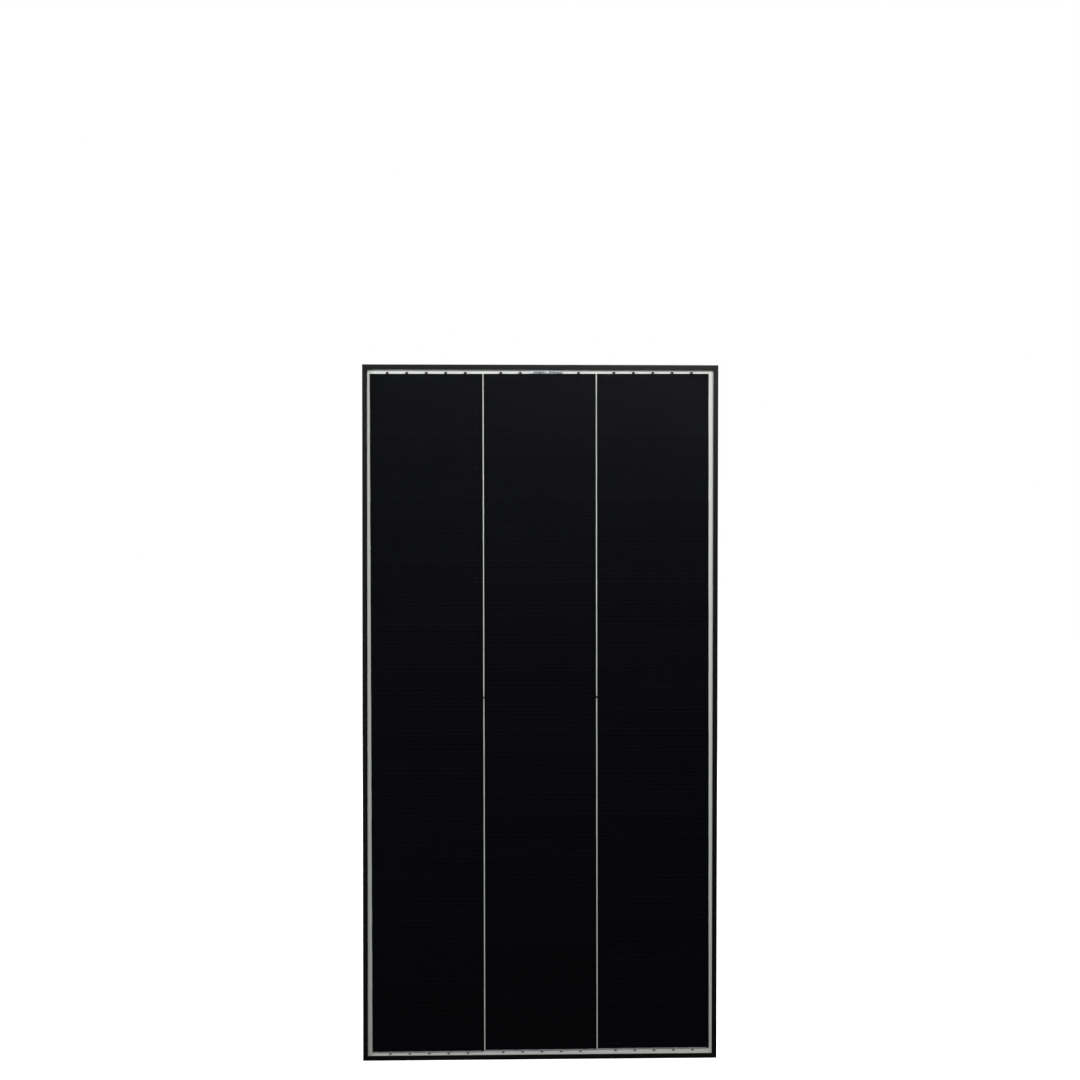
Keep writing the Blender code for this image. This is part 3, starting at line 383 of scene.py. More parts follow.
anodisedUpright = anodisedFinish("anodisedUpright", (900, 900, 5))
anodisedAcross = anodisedFinish("anodisedAcross", (5, 900, 900))
castAluminium = plainFinish(
    "castAluminium", (0.42, 0.42, 0.43), (0.58, 0.58, 0.59), (0.42, 0.60), metallic=1.0, scale=900
)
rubber = plainFinish(
    "blackRubber",
    (0.014, 0.014, 0.014),
    (0.024, 0.024, 0.023),
    (0.70, 0.88),
    scale=1200,
    specular=0.3,
)
solarGlass = paneFinish("solarGlass", 0.16, 0.07, (0.985, 0.990, 0.986))
clearEncapsulant = paneFinish("clearEncapsulant", 0.0, 0.3, (0.995, 0.997, 0.994))
whiteEncapsulant = whiteSheetFinish("whiteEncapsulant", (0.860, 0.867, 0.845), (0.842, 0.849, 0.827), 0.55)
backFilm = whiteSheetFinish("backFilm", (0.80, 0.81, 0.80), (0.745, 0.755, 0.75), 0.42)
insulationFilm = whiteSheetFinish("insulationFilm", (0.78, 0.79, 0.77), (0.73, 0.74, 0.72), 0.5)
silicone = plainFinish(
    "whiteSilicone", (0.66, 0.66, 0.64), (0.74, 0.74, 0.72), (0.45, 0.62), scale=260, grain=0.00008
)
silicon = siliconFinish()
blackRibbon = plainFinish(
    "blackRibbon",
    (0.002, 0.002, 0.0022),
    (0.005, 0.005, 0.0055),
    (0.45, 0.60),
    scale=700,
    specular=0.15,
)
greyRibbon = plainFinish(
    "greyRibbon", (0.035, 0.036, 0.037), (0.075, 0.077, 0.078), (0.35, 0.5), metallic=0.5, scale=500
)
tinned = plainFinish(
    "tinnedCopper",
    (0.50, 0.50, 0.49),
    (0.66, 0.66, 0.655),
    (0.24, 0.42),
    metallic=0.55,
    scale=420,
    stretch=(1, 1, 5),
)
ribbonEdge = plainFinish(
    "ribbonEdge", (0.40, 0.36, 0.44), (0.62, 0.58, 0.66), (0.35, 0.5), metallic=0.2, scale=180
)
brownEnd = plainFinish("brownEnd", (0.040, 0.026, 0.020), (0.075, 0.052, 0.040), (0.45, 0.6), scale=500)
steel = plainFinish(
    "platedSteel",
    (0.50, 0.50, 0.50),
    (0.66, 0.66, 0.65),
    (0.22, 0.38),
    metallic=1.0,
    scale=800,
    stretch=(1, 1, 4),
)
moulding = plainFinish(
    "blackMoulding",
    (0.017, 0.017, 0.0175),
    (0.027, 0.027, 0.028),
    (0.42, 0.58),
    scale=1700,
    grain=0.00004,
)
epoxy = plainFinish("diodeEpoxy", (0.014, 0.014, 0.015), (0.024, 0.024, 0.025), (0.30, 0.42), scale=900)
diodeBand = plainFinish("diodeBand", (0.58, 0.58, 0.57), (0.66, 0.66, 0.65), (0.4, 0.5), scale=500)
labelFilm = plainFinish(
    "labelFilm", (0.74, 0.76, 0.82), (0.79, 0.81, 0.86), (0.40, 0.52), scale=240, grain=0.00001
)
labelInk = plainFinish(
    "labelInk", (0.010, 0.010, 0.012), (0.020, 0.020, 0.022), (0.5, 0.6), scale=600, grain=0.00001
)
ratingFilm = plainFinish(
    "ratingFilm",
    (0.70, 0.71, 0.71),
    (0.75, 0.76, 0.76),
    (0.35, 0.45),
    scale=200,
    metallic=0.1,
    grain=0.00001,
)
solder = plainFinish(
    "solder", (0.45, 0.45, 0.46), (0.68, 0.68, 0.68), (0.18, 0.34), metallic=1.0, scale=900
)
greyInk = plainFinish(
    "greyInk", (0.030, 0.030, 0.033), (0.060, 0.060, 0.064), (0.45, 0.60), scale=700, grain=0.00001
)
print("finishes made")



def dress(finish, *names):
    for name in names:
        mesh = nodes[name].data
        mesh.materials.clear()
        mesh.materials.append(finish)


dress(castAluminium, *[f"corner_key_{v}_{h}" for v in ("top", "bottom") for h in ("left", "right")])
dress(rubber, "edge_seal")
dress(solarGlass, "glass_pane")
dress(clearEncapsulant, "front_encapsulant")
dress(whiteEncapsulant, "rear_encapsulant")
dress(backFilm, "backsheet")
dress(insulationFilm, "insulation_film_top", "insulation_film_centre", "insulation_film_bottom")
dress(tinned, "lead_ribbon_top", "lead_ribbon_centre", "lead_ribbon_bottom")
print("kept nodes dressed")



stringNames = ("left", "centre", "right")
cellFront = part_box("cell_string_left")[0][1]
arrayTop = ((layup["strips"] - 1) * layup["stripPitch"]["right"] + layup["stripHeight"]) / 2


def stringBottom(name):
    return arrayTop - (layup["strips"] - 1) * layup["stripPitch"][name] - layup["stripHeight"]



def laid(points):
    # turns points about the y axis through the origin, as the whole array is turned
    t = math.radians(layup["turnDegrees"])
    x, y, z = np.moveaxis(np.asarray(points, float), -1, 0)
    return np.stack([x * math.cos(t) + z * math.sin(t), y, z * math.cos(t) - x * math.sin(t)], axis=-1)


def cellString(name, order):
    # each strip is a thin slab: an eight-sided section (distance down it, depth) drawn out along x
    length, height, thick, e = layup["stripLength"], layup["stripHeight"], layup["thickness"], layup["edge"]
    section = np.array(
        [
            (0, e),
            (e, 0),
            (height - e, 0),
            (height, e),
            (height, thick - e),
            (height - e, thick),
            (e, thick),
            (0, thick - e),
        ]
    )
    centre = (order - 1) * layup["stringPitch"]
    index = np.arange(layup["strips"])[:, None, None]
    ends = np.array([centre - length / 2, centre + length / 2])[None, :, None]
    down, depth = section[:, 0][None, None, :], section[:, 1][None, None, :]
    shift = dice.uniform(-0.00012, 0.00012, layup["strips"])[:, None, None]
    x = ends + shift + 0 * down
    y = cellFront + layup["lean"] * down / height + depth + 0 * x
    z = arrayTop - index * layup["stripPitch"][name] - down + 0 * x
    uv = np.stack([x - centre + length / 2, index * 0.1 + down + 0 * x], axis=-1).reshape(-1, 2)
    points = laid(np.stack([x, y, z], axis=-1))
    faces = []
    for i in range(layup["strips"]):
        start = i * 16
        faces += [[start + v for v in face] for face in gridFaces(2, 8, wrapCols=True)]
        faces += [list(range(start, start + 8))[::-1], list(range(start + 8, start + 16))]
    piece(
        f"cellString{name.capitalize()}",
        [(points, faces)],
        silicon,
        "panel",
        [f"cell_string_{name}"],
        uv=uv,
    )


for order, name in enumerate(stringNames):
    cellString(name, order)
print("cell strings laid")



ribbons = {
    "tabPitch": 0.0275,
    "topTabWidth": 0.0036,
    "topTabReach": 0.0026,  # above the cells' top edge
    "dotWidth": 0.0031,
    "dotHeight": 0.0016,
    "dotCentre": 0.0021,  # below the cells' bottom edge
    "edgeHeight": 0.0010,  # bright ribbon edge under the last strip
    "combThickness": 0.00015,
    "inset": 0.0015,
}
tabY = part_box("top_comb_left")[0][1]
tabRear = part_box("top_comb_left")[1][1]
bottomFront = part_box("bottom_comb_left")[0][1]


def ribbonPath(path, width, centreX, thickness):
    # a flat ribbon: its section is a thin rectangle carried along a bent (y, z) path, mitred at the bends
    path = np.asarray(path, float)
    step = np.diff(path, axis=0)
    step /= np.linalg.norm(step, axis=1)[:, None]
    normal = np.stack([-step[:, 1], step[:, 0]], axis=-1)
    first = np.concatenate([normal[:1], normal])
    last = np.concatenate([normal, normal[-1:]])
    middle = first + last
    middle /= np.linalg.norm(middle, axis=1)[:, None]
    offset = middle * (thickness / 2 / np.sum(middle * last, axis=1))[:, None]
    corners = np.stack([path + offset, path - offset, path - offset, path + offset], axis=1)
    xs = centreX + np.array([-1, -1, 1, 1]) * width / 2
    rings = np.stack([np.broadcast_to(xs, corners.shape[:2]), corners[..., 0], corners[..., 1]], axis=-1)
    points, faces = shell(rings)
    return points, [face[::-1] for face in faces]


def tabCentres(centre):
    return centre + (np.arange(5) - 2) * ribbons["tabPitch"]


def topComb(name, order):
    centre = (order - 1) * layup["stringPitch"]
    t = ribbons["combThickness"]
    length = layup["stripLength"] / 2 - ribbons["inset"]
    bar = blocks(
        [[centre - length, tabY, arrayTop - 0.0024]], [[centre + length, tabY + t, arrayTop]], 0.00004
    )
    middle, rear, crest = tabY + t / 2, tabRear - t / 2, arrayTop + ribbons["topTabReach"] - t / 2
    path = [(middle, arrayTop - 0.001), (middle, crest), (rear, crest), (rear, arrayTop - 0.006)]
    tabs = [ribbonPath(path, ribbons["topTabWidth"], x, t) for x in tabCentres(centre)]
    parts = [(laid(p), f) for p, f in [bar, *tabs]]
    piece(f"topComb{name.capitalize()}", parts, blackRibbon, "panel", [f"top_comb_{name}"])


def bottomComb(name, order):
    # a bright edge along the last strip, wavy by a tenth of a millimetre, and five small dark ends below it
    centre = (order - 1) * layup["stringPitch"]
    left = centre - layup["stripLength"] / 2 + 0.0006
    right = centre + layup["stripLength"] / 2 - (0.0035 if name == "right" else 0.0012)
    x = np.linspace(left, right, 121)
    wave = 0.00010 * np.sin(x * 260 + order) + 0.00006 * np.sin(x * 611 + 2 * order)
    bottom = stringBottom(name)
    t = ribbons["combThickness"]
    section = np.array([(0, 0), (0, 1), (1, 1), (1, 0)])
    y = bottomFront + section[:, 0] * t
    z = bottom - 0.00015 + wave[:, None] + section[None, :, 1] * ribbons["edgeHeight"]
    rings = np.stack([np.broadcast_to(x[:, None], z.shape), np.broadcast_to(y, z.shape), z], axis=-1)
    edge = shell(rings)
    dots = []
    for cx in tabCentres(centre):
        half = ribbons["dotWidth"] / 2
        low = bottom - ribbons["dotCentre"] - ribbons["dotHeight"] / 2
        dots.append(
            blocks(
                [[cx + 0.0012 - half, bottomFront, low]],
                [[cx + 0.0012 + half, bottomFront + t, low + ribbons["dotHeight"]]],
                0.0002,
            )
        )
    parts = [(laid(p), f) for p, f in [edge, *dots]]
    piece(
        f"bottomComb{name.capitalize()}",
        parts,
        [ribbonEdge] + [brownEnd] * 5,
        "panel",
        [f"bottom_comb_{name}"],
    )


for order, name in enumerate(stringNames):
    topComb(name, order)
    bottomComb(name, order)


def busBar(name, node, height, coated, centreZ):
    # a tinned bar; where it would show between the strings it is covered by a white film on its front
    low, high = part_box(node)
    reach = 1.5 * layup["stripLength"] + layup["stringGap"] - ribbons["inset"]
    film = 0.00006
    front = low[1]
    bar = blocks(
        [[-reach, front + film, centreZ - height / 2]], [[reach, high[1], centreZ + height / 2]], 0.00005
    )
    parts, finishes = [bar], [tinned]
    if coated:
        parts.append(
            blocks(
                [[-reach, front, centreZ - height / 2]],
                [[reach, front + film * 0.9, centreZ + height / 2]],
                0.00001,
            )
        )
        finishes.append(whiteEncapsulant)
    piece(name, [(laid(p), f) for p, f in parts], finishes, "panel", [node])


topBus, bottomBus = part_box("top_bus_bar"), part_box("bottom_bus_bar")
busBar("topBusBar", "top_bus_bar", 0.005, True, (topBus[0][2] + topBus[1][2]) / 2)
busBar("bottomBusBar", "bottom_bus_bar", 0.005, True, (bottomBus[0][2] + bottomBus[1][2]) / 2)


def tapBar():
    # black ribbon across both gaps, with its black coat worn to grey in the middle of the left gap
    low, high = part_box("centre_tap_bar")
    centreZ = (low[2] + high[2]) / 2
    reach = 1.5 * layup["stripLength"] + layup["stringGap"] - ribbons["inset"]
    bar = blocks(
        [[-reach, low[1] + 0.00001, centreZ - 0.0015]], [[reach, high[1], centreZ + 0.0015]], 0.00005
    )
    gap = -layup["stringPitch"] / 2
    worn = blocks(
        [[gap - 0.0006, low[1], centreZ - 0.0007]],
        [[gap + 0.0007, low[1] + 0.00004, centreZ + 0.0007]],
        0.00001,
    )
    parts = [(laid(p), f) for p, f in (bar, worn)]
    piece("centreTapBar", parts, [blackRibbon, greyRibbon], "panel", ["centre_tap_bar"])


tapBar()
print("ribbons laid")

gapFill = {"width": 0.0011, "setback": 0.00015, "tapClearance": 0.0018}


def gapFilm(name, side):
    # white encapsulant that has risen between two strings, broken where the centre tap crosses
    x = side * layup["stringPitch"] / 2
    low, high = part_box("centre_tap_bar")
    tap = (low[2] + high[2]) / 2
    front, rear = cellFront + gapFill["setback"], low[1] - 0.00006
    ends = [
        (stringBottom("right"), tap - gapFill["tapClearance"]), (tap + gapFill["tapClearance"], arrayTop)
    ]
    first = [(x - gapFill["width"] / 2, front, z0) for z0, _ in ends]
    last = [(x + gapFill["width"] / 2, rear, z1) for _, z1 in ends]
    points, faces = blocks(first, last, 0.0001)
    piece(name, [(laid(points), faces)], whiteEncapsulant, "panel")


gapFilm("gapFilmLeft", -1)
gapFilm("gapFilmRight", 1)
print("gaps filled")



codeLabel = {
    "bars": 40,
    "barBottom": 0.03,  # shares of the label's height
    "barTop": 0.55,
    "leftMargin": 0.0050,
    "rightMargin": 0.0012,
    "barDuty": 2.0,  # how much wider a bar is than a space
    "clearFrom": 0.0236,  # the space between the two printed groups
    "clearTo": 0.0270,
}


def barcodeLabel():
    low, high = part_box("barcode_label")
    film = blocks([list(low)], [list(high)], 0.00003)
    width, height = high[0] - low[0], high[2] - low[2]
    steps = dice.integers(1, 4, 2 * codeLabel["bars"]).astype(float)
    steps[1::2] *= codeLabel["barDuty"]
    ends = np.cumsum(steps)
    ends = codeLabel["leftMargin"] + ends / ends[-1] * (
        width - codeLabel["leftMargin"] - codeLabel["rightMargin"]
    )
    starts, stops = ends[0::2], ends[1::2]
    printed = (stops < codeLabel["clearFrom"]) | (starts > codeLabel["clearTo"])
    x0 = low[0] + starts[printed]
    x1 = low[0] + stops[printed]
    front = np.full_like(x0, low[1] - 0.00002)
    back = np.full_like(x0, low[1] + 0.00001)
    z0 = np.full_like(x0, low[2] + height * codeLabel["barBottom"])
    z1 = np.full_like(x0, low[2] + height * codeLabel["barTop"])
    bars = blocks(np.stack([x0, front, z0], axis=-1), np.stack([x1, back, z1], axis=-1))
    piece("codeLabel", [film, bars], [labelFilm, labelInk], "panel", ["barcode_label"])


barcodeLabel()
print("labels laid")



def softened(name, node, finish, body, width, segments=2, angle=40):
    # the CAD shape with its loose triangles joined up and every sharp edge rounded by width
    mesh = nodes[node].data.copy()
    mesh.name = name
    mesh.materials.clear()
    mesh.materials.append(finish)
    work = bmesh.new()
    work.from_mesh(mesh)
    bmesh.ops.remove_doubles(work, verts=work.verts, dist=0.000002)
    bmesh.ops.dissolve_limit(work, angle_limit=math.radians(0.5), verts=work.verts, edges=work.edges)
    work.to_mesh(mesh)
    work.free()
    mesh.shade_smooth()
    mesh.set_sharp_from_angle(angle=math.radians(angle))
    made = bpy.data.objects.new(name, mesh)
    bpy.context.scene.collection.objects.link(made)
    edges = made.modifiers.new("roundedEdges", "BEVEL")
    edges.width = width
    edges.segments = segments
    edges.limit_method = "ANGLE"
    edges.angle_limit = math.radians(angle)
    flats = made.modifiers.new("flatFaces", "WEIGHTED_NORMAL")
    flats.weight = 100
    flats.keep_sharp = True
    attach(made, body)
    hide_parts(node)
    return made


railLook = {"edge": 0.00022}
for side in ("left", "right"):
    softened(
        f"longRail{side.capitalize()}",
        f"frame_rail_{side}",
        anodisedUpright,
        "panel",
        railLook["edge"],
    )
for side in ("top", "bottom"):
    softened(
        f"shortRail{side.capitalize()}",
        f"frame_rail_{side}",
        anodisedAcross,
        "panel",
        railLook["edge"],
    )
print("rails rounded")

boxLook = {
    "wallEdge": 0.0003,
    "lidEdge": 0.0003,
    "sideRibs": 9,  # moulded ribs on each end wall
    "sideRibPitch": 0.0066,
    "sideRibWidth": 0.0014,
    "ribProud": 0.0006,
    "ridgeInset": 0.0065,  # raised border on the lid
    "ridgeRadius": 0.0007,
    "gripRibs": 5,
    "gripPitch": 0.0024,
}
gasketLow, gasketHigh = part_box("lid_gasket")
adhesiveLow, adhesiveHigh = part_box("box_adhesive")
boxMiddle = (np.array(gasketLow) + np.array(gasketHigh)) / 2
boxWidth = gasketHigh[0] - gasketLow[0] + 0.0006
boxHeight = gasketHigh[2] - gasketLow[2] + 0.0006


def carriedRound(outline, offsets, levels, middle):
    # a profile carried round a closed outline: offsets move it outwards along the outline's normals,
    # and levels are the y of each step
    ahead, behind = np.roll(outline, -1, axis=0), np.roll(outline, 1, axis=0)
    along = ahead - behind
    along /= np.linalg.norm(along, axis=1)[:, None]
    normal = np.stack([along[:, 1], -along[:, 0]], axis=-1)
    loops = outline[None] + np.asarray(offsets)[..., None] * normal[None]
    x, z = middle[0] + loops[..., 0], middle[2] + loops[..., 1]
    return np.stack([x, np.broadcast_to(np.asarray(levels), x.shape), z], axis=-1)


def evenly(outline, count):
    # points at equal steps along a closed outline
    closed = np.concatenate([outline, outline[:1]])
    run = np.concatenate([[0], np.cumsum(np.linalg.norm(np.diff(closed, axis=0), axis=1))])
    where = np.linspace(0, run[-1], count, endpoint=False)
    return np.stack([np.interp(where, run, closed[:, k]) for k in range(2)], axis=-1)


def boxShell():
    # the moulded base, with ribs on its end walls and between the glands
    softened("boxBase", "junction_box_base", moulding, "panel", boxLook["wallEdge"])
    pitch, half, proud = boxLook["sideRibPitch"], boxLook["sideRibWidth"] / 2, boxLook["ribProud"]
    z = boxMiddle[2] + (np.arange(boxLook["sideRibs"]) - (boxLook["sideRibs"] - 1) / 2) * pitch
    low, high = adhesiveHigh[1] + 0.0012, gasketLow[1] - 0.0014
    parts = []
    for sign in (-1, 1):
        wall = boxMiddle[0] + sign * boxWidth / 2
        ends = sorted((wall - sign * 0.0006, wall + sign * proud))
        first = np.stack([np.full_like(z, ends[0]), np.full_like(z, low), z - half], axis=-1)
        last = np.stack([np.full_like(z, ends[1]), np.full_like(z, high), z + half], axis=-1)
        parts.append(blocks(first, last, 0.0003))
    x = np.array([-0.0185, -0.0135, 0.0135, 0.0185])
    under = boxMiddle[2] - boxHeight / 2
    first = np.stack([x - half, np.full_like(x, low), np.full_like(x, under - proud)], axis=-1)
    last = np.stack([x + half, np.full_like(x, high - 0.003), np.full_like(x, under + 0.0006)], axis=-1)
    parts.append(blocks(first, last, 0.0003))
    piece("boxWallRibs", parts, moulding, "panel")


def boxLid():
    # the lid, with a half-round ridge round its face, grip ribs over the latch and a raised opening arrow
    softened("boxLid", "junction_box_lid", moulding, "lid", boxLook["lidEdge"])
    face = lidFace
    inset, radius = boxLook["ridgeInset"], boxLook["ridgeRadius"]
    outline = roundedRectangle(boxWidth - 2 * inset, boxHeight - 2 * inset, 0.004, 8)
    t = np.linspace(-math.pi / 2 - 0.4, math.pi / 2 + 0.4, 13)
    offsets = radius * np.sin(t) * 1.3
    levels = face + radius * np.cos(t) * 0.8
    ridge = shell(
        carriedRound(outline, offsets[:, None] + 0 * outline[None, :, 0], levels[:, None], boxMiddle),
        wrap=True,
    )
    count, pitch = boxLook["gripRibs"], boxLook["gripPitch"]
    z = boxMiddle[2] - boxHeight / 2 + inset + 0.0045 + np.arange(count) * pitch
    reach = 0.011 - 0.0009 * np.arange(count)
    first = np.stack([-reach, np.full(count, face - 0.0004), z - 0.0005], axis=-1)
    last = np.stack([reach, np.full(count, face + 0.0005), z + 0.0005], axis=-1)
    ribs = blocks(first, last, 0.0003)
    tip = boxMiddle[2] + 0.004
    arrow = np.array(
        [
            (0.0, -0.0045),
            (0.0052, 0.0022),
            (0.0020, 0.0022),
            (0.0020, 0.0085),
            (-0.0020, 0.0085),
            (-0.0020, 0.0022),
            (-0.0052, 0.0022),
        ]
    )
    rise = np.array([face - 0.0003, face + 0.0004])
    rings = np.stack(
        [
            np.broadcast_to(arrow[:, 0], (2, 7)),
            np.broadcast_to(rise[:, None], (2, 7)),
            np.broadcast_to(tip + arrow[:, 1], (2, 7)),
        ],
        axis=-1,
    )
    piece("lidMouldings", [ridge, ribs, shell(rings)], moulding, "lid", smoothAngle=35)


def sealant():
    # a slab of silicone under the box, squeezed out round it in a bead whose size wanders a little
    outline = evenly(roundedRectangle(boxWidth + 0.0004, boxHeight + 0.0004, 0.005, 8), 360)
    a = np.linspace(0, 2 * math.pi, 12, endpoint=False)
    run = np.linspace(0, 2 * math.pi, 360, endpoint=False)
    wander = 1 + 0.10 * np.sin(11 * run + 1.0) + 0.07 * np.sin(29 * run) + 0.05 * np.sin(53 * run + 2.0)
    front, rear = adhesiveLow[1], adhesiveHigh[1]
    middle, half = (front + rear) / 2 + 0.0002, (rear - front) / 2 + 0.0002
    bead = carriedRound(
        outline, 0.0011 * np.cos(a)[:, None] * wander, middle + half * np.sin(a)[:, None], boxMiddle
    )
    hole = roundedRectangle(0.0766, 0.0115, 0.002, 6) + np.array([0.0, leadWindowZ - boxMiddle[2]])
    outer = roundedRectangle(boxWidth - 0.002, boxHeight - 0.002, 0.004, 6)
    loops = np.stack([outer, outer, hole, hole])
    levels = np.array([front, rear, rear, front])[:, None] + 0 * loops[..., 0]
    slab = np.stack([boxMiddle[0] + loops[..., 0], levels, boxMiddle[2] + loops[..., 1]], axis=-1)
    piece(
        "boxSealant",
        [shell(bead, wrap=True), shell(slab, wrap=True)],
        silicone,
        "panel",
        ["box_adhesive"],
        smoothAngle=50,
    )


def gasket():
    # a soft ring with a domed face, carried round the rim
    outline = evenly(roundedRectangle(boxWidth - 0.002, boxHeight - 0.002, 0.004, 8), 240)
    t = np.linspace(0, 2 * math.pi, 14, endpoint=False)
    low, high = gasketLow[1], gasketHigh[1]
    offsets = 0.00068 * np.sign(np.cos(t)) * np.abs(np.cos(t)) ** 0.6
    levels = (low + high) / 2 + (high - low) / 2 * np.sign(np.sin(t)) * np.abs(np.sin(t)) ** 0.6
    rings = carriedRound(outline, offsets[:, None] + 0 * outline[None, :, 0], levels[:, None], boxMiddle)
    piece("lidGasket", [shell(rings, wrap=True)], rubber, "lid", ["lid_gasket"], smoothAngle=50)


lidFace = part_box("lid_gasket")[1][1] + 0.00205
leadWindowZ = boxMiddle[2] + 0.008
boxShell()
boxLid()
sealant()
gasket()
print("junction box made")

glandLook = {
    "flats": 0.01442,
    "grips": 36,
    "gripDepth": 0.00022,
    "chamfer": 0.0011,
    "threadPitch": 0.0015,
    "threadHeight": 0.00018,
    "threadCore": 0.00579,
    "thread": 0.0061,
    "mouth": 0.0036,
    "endWall": 0.002,
}


def nut(name, side):
    # radius of a hexagon, a / cos(angle from the nearest flat's middle), cut back by a cone at each end and
    # by shallow grooves round the middle; the bore comes back up inside
    node = f"gland_nut_{side}"
    low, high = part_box(node)
    centre = ((low[0] + high[0]) / 2, (low[1] + high[1]) / 2)
    z0, z1 = low[2], high[2]
    a = glandLook["flats"] / 2
    corner = a / math.cos(math.pi / 6) * 0.985
    t = np.linspace(0, 2 * math.pi, 288, endpoint=False)
    hexagon = a / np.cos(t % (math.pi / 3) - math.pi / 6)
    c = glandLook["chamfer"]
    groove = glandLook["gripDepth"] * (0.5 - 0.5 * np.cos(glandLook["grips"] * t))
    heights = [0, 0.0003, c, c + 0.0012, c + 0.0018]
    limits = [a * 0.955, a * 0.995, corner, corner, corner]
    depths = [0, 0, 0, 0, 1]
    z = np.array([z0 + h for h in heights] + [z1 - h for h in heights[::-1]])
    limit = np.array(limits + limits[::-1])
    depth = np.array(depths + depths[::-1])
    outside = np.minimum(hexagon[None], limit[:, None]) - depth[:, None] * groove[None]
    bore, mouth, wall = glandLook["thread"], glandLook["mouth"], z0 + glandLook["endWall"]
    insideZ = np.array([z1, z1 - 0.0004, wall + 0.0002, wall, wall, z0 + 0.0004, z0])
    insideR = np.array([bore + 0.0004, bore, bore, bore - 0.0002, mouth, mouth, mouth + 0.0004])
    r = np.concatenate([outside, insideR[:, None] + 0 * t[None]])
    z = np.concatenate([z, insideZ])
    x, y = centre[0] + r * np.cos(t), centre[1] + r * np.sin(t)
    rings = np.stack([x, y, np.broadcast_to(z[:, None], x.shape)], axis=-1)
    piece(name, [shell(rings, wrap=True)], moulding, f"{side}_nut", [node], smoothAngle=32)


def spigotThread(name, side):
    # a sleeve whose radius rises to a crest once a turn: core + height * ridge(z / pitch - angle / turn)
    low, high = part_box(f"gland_seal_{side}")
    centre = ((low[0] + high[0]) / 2, (low[1] + high[1]) / 2)
    top = boxMiddle[2] - boxHeight / 2 - 0.0027
    t = np.linspace(0, 2 * math.pi, 72, endpoint=False)
    z = np.linspace(low[2] + 0.0002, top, 90)
    phase = (z[:, None] / glandLook["threadPitch"] + t[None] / (2 * math.pi)) % 1
    ridge = np.clip(2.2 * (0.5 - np.abs(phase - 0.5)) * 2 - 0.7, 0, 1)
    fade = np.clip((z - z[0]) / 0.001, 0, 1) * np.clip((z[-1] - z) / 0.001, 0, 1)
    outer = glandLook["threadCore"] + glandLook["threadHeight"] * ridge * fade[:, None]
    inner = np.full((2, len(t)), glandLook["threadCore"] - 0.0003)
    r = np.concatenate([outer, inner])
    zz = np.concatenate([z, [z[-1], z[0]]])
    x, y = centre[0] + r * np.cos(t), centre[1] + r * np.sin(t)
    rings = np.stack([x, y, np.broadcast_to(zz[:, None], x.shape)], axis=-1)
    piece(name, [shell(rings, wrap=True)], moulding, "panel", smoothAngle=50)


def roundRing(name, node, finish, body, edge, fins=0):
    # a turned ring with rounded edges, and a few shallow grooves down its bore where fins are asked for
    low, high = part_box(node)
    centre = ((low[0] + high[0]) / 2, (low[1] + high[1]) / 2)
    radius = (high[0] - low[0]) / 2
    bore = {"gland_seal": 0.0033, "gland_slip": 0.0036}[node[:10]]
    z0, z1 = low[2], high[2]
    outer = [(radius - edge, z0), (radius, z0 + edge), (radius, z1 - edge), (radius - edge, z1)]
    inner = [(bore + edge, z1)]
    steps = np.linspace(z1 - edge, z0 + edge, 4 * fins + 2)
    inner += [(bore + (0.0002 if fins and k % 4 in (2, 3) else 0.0), z) for k, z in enumerate(steps)]
    inner += [(bore + edge, z0)]
    rings = turnedRings(outer + inner, centre, 64)
    piece(name, [shell(rings, wrap=True)], finish, body, [node], smoothAngle=40)


for side in ("left", "right"):
    word = side.capitalize()
    nut(f"glandNut{word}", side)
    spigotThread(f"glandThread{word}", side)
    roundRing(f"glandSeal{word}", f"gland_seal_{side}", rubber, "panel", 0.0003, fins=4)
    roundRing(f"slipRing{word}", f"gland_slip_ring_{side}", moulding, f"{side}_slip_ring", 0.0002)
print("glands made")

softened("hingePin", "lid_hinge_pin", steel, "panel", 0.00025)
for side in ("left", "right"):
    word = side.capitalize()
    softened(f"clampWasher{word}", f"clamp_washer_{side}", steel, "panel", 0.00015)
    softened(f"clampScrew{word}", f"clamp_screw_{side}", steel, "panel", 0.00025)
for side in ("left", "centre", "right"):
    softened(f"terminal{side.capitalize()}", f"terminal_{side}", tinned, "panel", 0.0002)

diodeLook = {"edge": 0.0006, "bandFrom": 0.58, "bandTo": 0.78, "wire": 0.0005, "footLength": 0.002}


def alongX(profile, y, z, segments=32):
    # a profile of (x, radius) turned round a level axis at (y, z)
    t = np.linspace(0, 2 * math.pi, segments, endpoint=False)
    x, r = np.asarray(profile, float).T
    ys, zs = y + r[:, None] * np.cos(t), z + r[:, None] * np.sin(t)
    return np.stack([np.broadcast_to(x[:, None], ys.shape), ys, zs], axis=-1)


def tubeAlong(path, radius, segments=12):
    # a round wire: a circle carried along the path, in the plane of z and the path's own normal
    path = np.asarray(path, float)
    step = np.gradient(path, axis=0)
    step /= np.linalg.norm(step, axis=1)[:, None]
    up = np.array([0.0, 0.0, 1.0])
    side = np.cross(step, up)
    t = np.linspace(0, 2 * math.pi, segments, endpoint=False)
    rings = path[:, None] + radius * (
        side[:, None] * np.cos(t)[None, :, None] + up * np.sin(t)[None, :, None]
    )
    return shell(rings)


